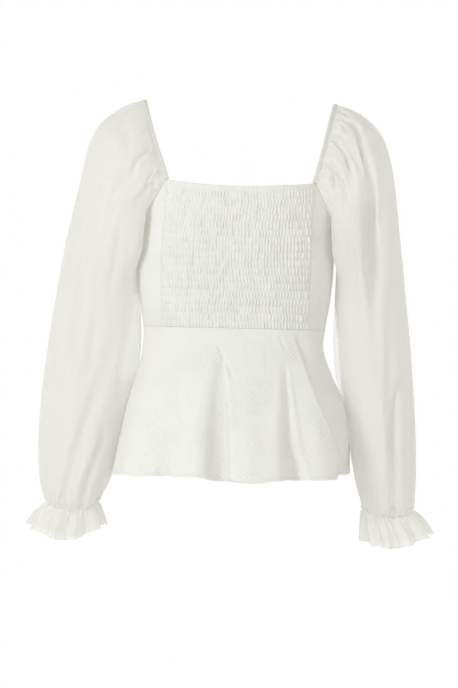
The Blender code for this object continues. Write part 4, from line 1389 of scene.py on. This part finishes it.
# %% [markdown]
# Where only one layer of chiffon lies before the white, the sleeve looks pale: along the inner
# edge of both sleeves, where the lower layer has slid behind the upper. There the cloth is pulled
# flat and open, so its cover is less. The right sleeve's open edge ends above the wrist, and the
# left one's closes softly further down.

# %% Open edges of the chiffon
# Height and x of the line where the dense part starts, in millimetres, on each sleeve's inner side
DENSE_EDGE = {
    "L": [(-262, -143), (-273, -145.5), (-325, -153.5), (-361, -160), (-394, -165),
          (-432, -170), (-470, -172)],
    "R": [(-262, 140), (-300, 146.5), (-329, 151.5), (-367, 155.5), (-406, 159), (-435, 162),
          (-480, 170), (-520, 178)],
}
EDGE_SOFTNESS = 0.005
EDGE_START = 0.03
EDGE_END = {"L": 0.095, "R": 0.04}
OPEN_SHARE = {"L": 0.30, "R": 0.02}


def sleeve_cover(grid, side):
    table = np.array(DENSE_EDGE[side], float) / 1000.0
    line = np.interp(grid[..., 2], table[::-1, 0], table[::-1, 1])
    beyond = (line - grid[..., 0]) if side == "R" else (grid[..., 0] - line)
    within = smooth_step((table[0, 0] - grid[..., 2]) / EDGE_START)
    within = within * smooth_step((grid[..., 2] - table[-1, 0]) / EDGE_END[side])
    inner = smooth_step(beyond / EDGE_SOFTNESS + 0.5) * within
    return 1.0 - (1.0 - OPEN_SHARE[side]) * inner


places = np.arange(AROUND_SLEEVE, dtype=float)
angles = (360.0 * places / AROUND_SLEEVE)[None]
body_gaps = np.minimum(RINGS * CLEAR_STEP + EDGE_GAP, SLEEVE_CLEAR)[:, None]
sleeves = {}
for side in ("L", "R"):
    draw = random.Random(SLEEVE_SEED[side])
    grid = sleeve_form(side, RINGS, angles)
    height = -fold_sink(side, RINGS, angles)
    for gathers in (HEAD_GATHERS, WRIST_GATHERS):
        height += gather_ridges(draw, gathers, RINGS, places, AROUND_SLEEVE)
    uneven = rumple(draw, RINGS, places, AROUND_SLEEVE, RUMPLE_WAVES)
    height += RUMPLE * uneven * smooth_step(RINGS / RUMPLE_RINGS)[:, None]
    height *= smooth_step(RINGS * GATHER_RAMP)[:, None]
    grid = puff_over_seam(with_relief(grid, height, True), RINGS, angles)
    grid = mirrored(clear_of_body(grid, side, body_gaps), side)

    # The listed creases, the back's on the back half and the front's on the front half
    to_front = grid_normals(grid, True)[..., 1]
    sink = np.zeros(to_front.shape)
    for facing, creases in ((-to_front, CREASES_BACK), (to_front, CREASES_FRONT)):
        share = smooth_step((facing - FACE_START) / FACE_BLEND)
        sink += share * crease_sink(grid, creases[side])
    within = smooth_step(RINGS * CREASE_RAMP) * smooth_step((LAST_RING - RINGS) / WRIST_HOLD)
    grid = mirrored(with_relief(grid, -sink * within[:, None], True), side)
    grid = mirrored(clear_of_body(grid, side, body_gaps), side)
    grid = hang_at_wrist(grid, RINGS, angles, WRIST_HANG)
    sleeves[side] = cloth(
        "chiffon_sleeve_" + side, grid, CHIFFON_THICKNESS, sheer_chiffon,
        joined=True, cover=sleeve_cover(grid, side),
    )

# %% [markdown]
# ## Wrist ruffles
#
# Below the elastic the same chiffon hangs free. A long hem on a short seam stands in waves, and
# when it is much longer, the waves bulge sideways beyond their own necks. So each wave slides
# points along the edge as well as out, and its size differs from its neighbours'. Fine pleats
# stand under the elastic and run out on the way down. The top laps into the sleeve's end, and the
# hem's inner side is lifted or let down as the photo shows it.

# %% Ruffles
# As for the sleeve, and how much lower the middle hangs
RUFFLE = np.array([
    (0.2665, -0.5865, 0.1930, -0.5855, 0.0315, 0.020, 0.0115),
    (0.2770, -0.5970, 0.1900, -0.5990, 0.0370, 0.020, 0.0125),
    (0.2855, -0.6080, 0.1865, -0.6130, 0.0430, 0.020, 0.0138),
    (0.2905, -0.6190, 0.1840, -0.6260, 0.0480, 0.020, 0.0155),
])
RUFFLE_LAST = len(RUFFLE) - 1
RUFFLE_SWELL = np.array([(0, 0.0003), (1, 0.0038), (2, 0.0056), (3, 0.0068)])
RUFFLE_TUCK = {"L": 0.0, "R": 0.0042}
INNER_HEM_RISE = {"L": 0.0032, "R": -0.0024}
RUFFLE_SEED = {"L": 12, "R": 11}
RUFFLE_WAVES = 10
WAVE_SIZES = (0.7, 1.25)
WAVE_SLIDE = 0.25
WAVE_BULGE = 0.0034
RUFFLE_COLUMNS = 400
RUFFLE_ROWS = 20
FINE_GATHERS = 34
FINE_GATHER = 0.0023
FINE_DRIFT = 0.006
FINE_DRIFT_TURN = 5.1
FINE_START = 0.12
FINE_FADE = 2.4
SLIDE_PARTS = 40
RUFFLE_LAP = 0.0012
RUFFLE_COVER = 0.8

ruffles = {}
down = np.linspace(0.0, RUFFLE_LAST, RUFFLE_ROWS + 1)
share = (down / RUFFLE_LAST)[:, None]
swell = smooth_rows(RUFFLE_SWELL, down)[:, 1][:, None]
place = np.arange(RUFFLE_COLUMNS) / RUFFLE_COLUMNS * RUFFLE_WAVES
wave = place.astype(int)
part = (place - wave)[None]
pleats = place / RUFFLE_WAVES + FINE_DRIFT * np.sin(place * FINE_DRIFT_TURN)
fine = np.cos(2 * np.pi * FINE_GATHERS * pleats) * FINE_GATHER
fine = fine * smooth_step(share / FINE_START) * np.exp(-share * FINE_FADE)


def eased(values):
    """A value for each wave, led over smoothly into the next wave's."""
    return values[wave] + (values[(wave + 1) % RUFFLE_WAVES] - values[wave]) * smooth_step(part[0])


for side in ("L", "R"):
    draw = random.Random(RUFFLE_SEED[side])
    size = eased(np.array([draw.uniform(*WAVE_SIZES) for _ in range(RUFFLE_WAVES)]))
    slide = [draw.uniform(-WAVE_SLIDE, WAVE_SLIDE) for _ in range(RUFFLE_WAVES)]
    slide = eased(np.array(slide)) * 360.0 / SLIDE_PARTS
    table = smooth_rows(np.column_stack([np.arange(len(RUFFLE)), RUFFLE]), down)[:, 1:]
    table[:, 2] += RUFFLE_TUCK[side] * down
    table[:, 3] += INNER_HEM_RISE[side] * down
    table[:, 6] += INNER_HEM_RISE[side] * down / 2
    angle = (place * 360.0 / RUFFLE_WAVES)[None] + slide * down[:, None]
    points = ring_points(table, angle)
    points[..., 2] -= table[:, 6][:, None] * np.sin(np.radians(angle)) ** 2
    points[..., 2] += RUFFLE_LAP * (1.0 - share)
    middle = ring_points(table, np.array([[0.0, 180.0]])).mean(axis=1, keepdims=True)
    out = (points - middle) * np.array([1.0, 1.0, 0.0])
    out /= np.linalg.norm(out, axis=2, keepdims=True)
    along = np.roll(points, -1, axis=1) - np.roll(points, 1, axis=1)
    along /= np.linalg.norm(along, axis=2, keepdims=True)
    points = points + out * (swell * size * np.cos(2 * np.pi * part) + fine)[..., None]
    points = points - along * (WAVE_BULGE * share * size * np.sin(4 * np.pi * part))[..., None]
    grid = mirrored(points, side)
    ruffles[side] = cloth(
        "wrist_ruffle_" + side, grid, CHIFFON_THICKNESS, sheer_chiffon,
        joined=True, cover=np.full(grid.shape[:2], RUFFLE_COVER),
    )

# %% [markdown]
# ## Stitches
#
# A seam sewn from outside shows its stitches: the rows that hold the elastic, the line above the
# hem's turning and the one along each binding. A machine makes stitches of about 2.6 mm and pulls
# the thread down between them, so each is a slender grain. The lines are read off the finished
# cloth. A small tree turns them into curves, spaces points at the length of a stitch and lays one
# grain on each, turned along the line.

# %% Stitches
STITCH_LENGTH = 0.0026
STITCH_WIDTH = 0.00032
STITCH_LIFT = 0.00008
STITCH_SHOWN = 0.88
HEM_STITCH_ROW = -6

stitching, given = new_tree("stitching", [
    ("Lines", "NodeSocketGeometry"), ("Stitch length", FLOAT), ("Stitch width", FLOAT),
    ("Thread", "NodeSocketMaterial"),
])
curves = add(stitching, "GeometryNodeMeshToCurve", {0: given["Lines"]})
spacing = {"Curve": curves, "Length": given["Stitch length"]}
spaced = add(stitching, "GeometryNodeResampleCurve", spacing, mode="LENGTH")
along = add(stitching, "GeometryNodeInputTangent")
turned = add(stitching, "FunctionNodeAlignRotationToVector", {"Vector": along}, axis="Z")
grain = add(stitching, "GeometryNodeMeshUVSphere", {"Segments": 6, "Rings": 4, "Radius": 0.5})
shown = add(stitching, MATH, [given["Stitch length"], STITCH_SHOWN], operation="MULTIPLY")
stretch = add(stitching, SPOT, [given["Stitch width"], given["Stitch width"], shown])
laid = {"Points": spaced, "Instance": grain.outputs["Mesh"], "Rotation": turned, "Scale": stretch}
laid = add(stitching, "GeometryNodeInstanceOnPoints", laid)
finish_tree(stitching, laid, given["Thread"])

panel_rows = HEADING_STEPS + ELASTIC_ROWS * ROW_STEPS + 1
panel = np.empty(len(back_panel.data.vertices) * 3)
back_panel.data.vertices.foreach_get("co", panel)
panel = panel.reshape(-1, 3)[:panel_rows * (PANEL_COLUMNS + 1)].reshape(panel_rows, -1, 3)
lifted = panel + grid_normals(panel) * STITCH_LIFT
lines = [lifted[HEADING_STEPS + k * ROW_STEPS] for k in range(ELASTIC_ROWS)]
for hem_grid in (back_hem_grid, front_hem_grid):
    lines.append(askew(hem_grid + grid_normals(hem_grid) * STITCH_LIFT)[HEM_STITCH_ROW])
for sign in (1.0, -1.0):
    lines.append(askew((binding_edge + outward * STITCH_LIFT) * np.array([sign, 1.0, 1.0])))
ends = np.cumsum([len(line) for line in lines])
seams = [(k, k + 1) for k in range(ends[-1] - 1) if k + 1 not in ends]
line_mesh = bpy.data.meshes.new("stitches")
line_mesh.from_pydata(np.concatenate(lines).tolist(), seams, [])
stitches = stand("stitches", line_mesh)
settle(stitches, stitching, {
    "Stitch length": STITCH_LENGTH, "Stitch width": STITCH_WIDTH, "Thread": sewing_thread,
})

# %% [markdown]
# ## Joining the pieces to the model
#
# Each piece rides on the one body, replaces its solid, and says what sheet it is cut from: the
# width round the body or sleeve and the length down it, before any gathers.

# %% Ride, replace and sheets
pieces = {
    "back_panel": (back_panel, "shirred_cotton", (0.330, 0.212), "gathered"),
    "side_back_L": (side_backs["side_back_left"], "dobby_cotton", (0.078, 0.205), "stretched"),
    "side_back_R": (side_backs["side_back_right"], "dobby_cotton", (0.078, 0.205), "stretched"),
    "front_bodice": (front_bodice, "dobby_cotton", (0.420, 0.200), "stretched"),
    "peplum_back": (peplum_back, "dobby_cotton", (0.480, 0.225), "hung"),
    "peplum_front": (peplum_front, "dobby_cotton", (0.480, 0.225), "hung"),
    "sleeve_L": (sleeves["L"], "sheer_chiffon", (0.520, 0.600), "gathered"),
    "sleeve_R": (sleeves["R"], "sheer_chiffon", (0.520, 0.600), "gathered"),
    "strap_L": (bindings["L"], "dobby_cotton", (0.014, 0.310), "folded"),
    "strap_R": (bindings["R"], "dobby_cotton", (0.014, 0.310), "folded"),
    "cuff_ruffle_L": (ruffles["L"], "sheer_chiffon", (0.440, 0.043), "gathered"),
    "cuff_ruffle_R": (ruffles["R"], "sheer_chiffon", (0.440, 0.043), "gathered"),
}
for node, (piece, slot, flat, held) in pieces.items():
    area = sum(polygon.area for polygon in piece.data.polygons) / 2
    cut = flat[0] * flat[1]
    print(node, "cloth area", round(area, 4), "of a cut of", round(cut, 4), "square metres")
    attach(piece, "root")
    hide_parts(node)

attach(stitches, "root")
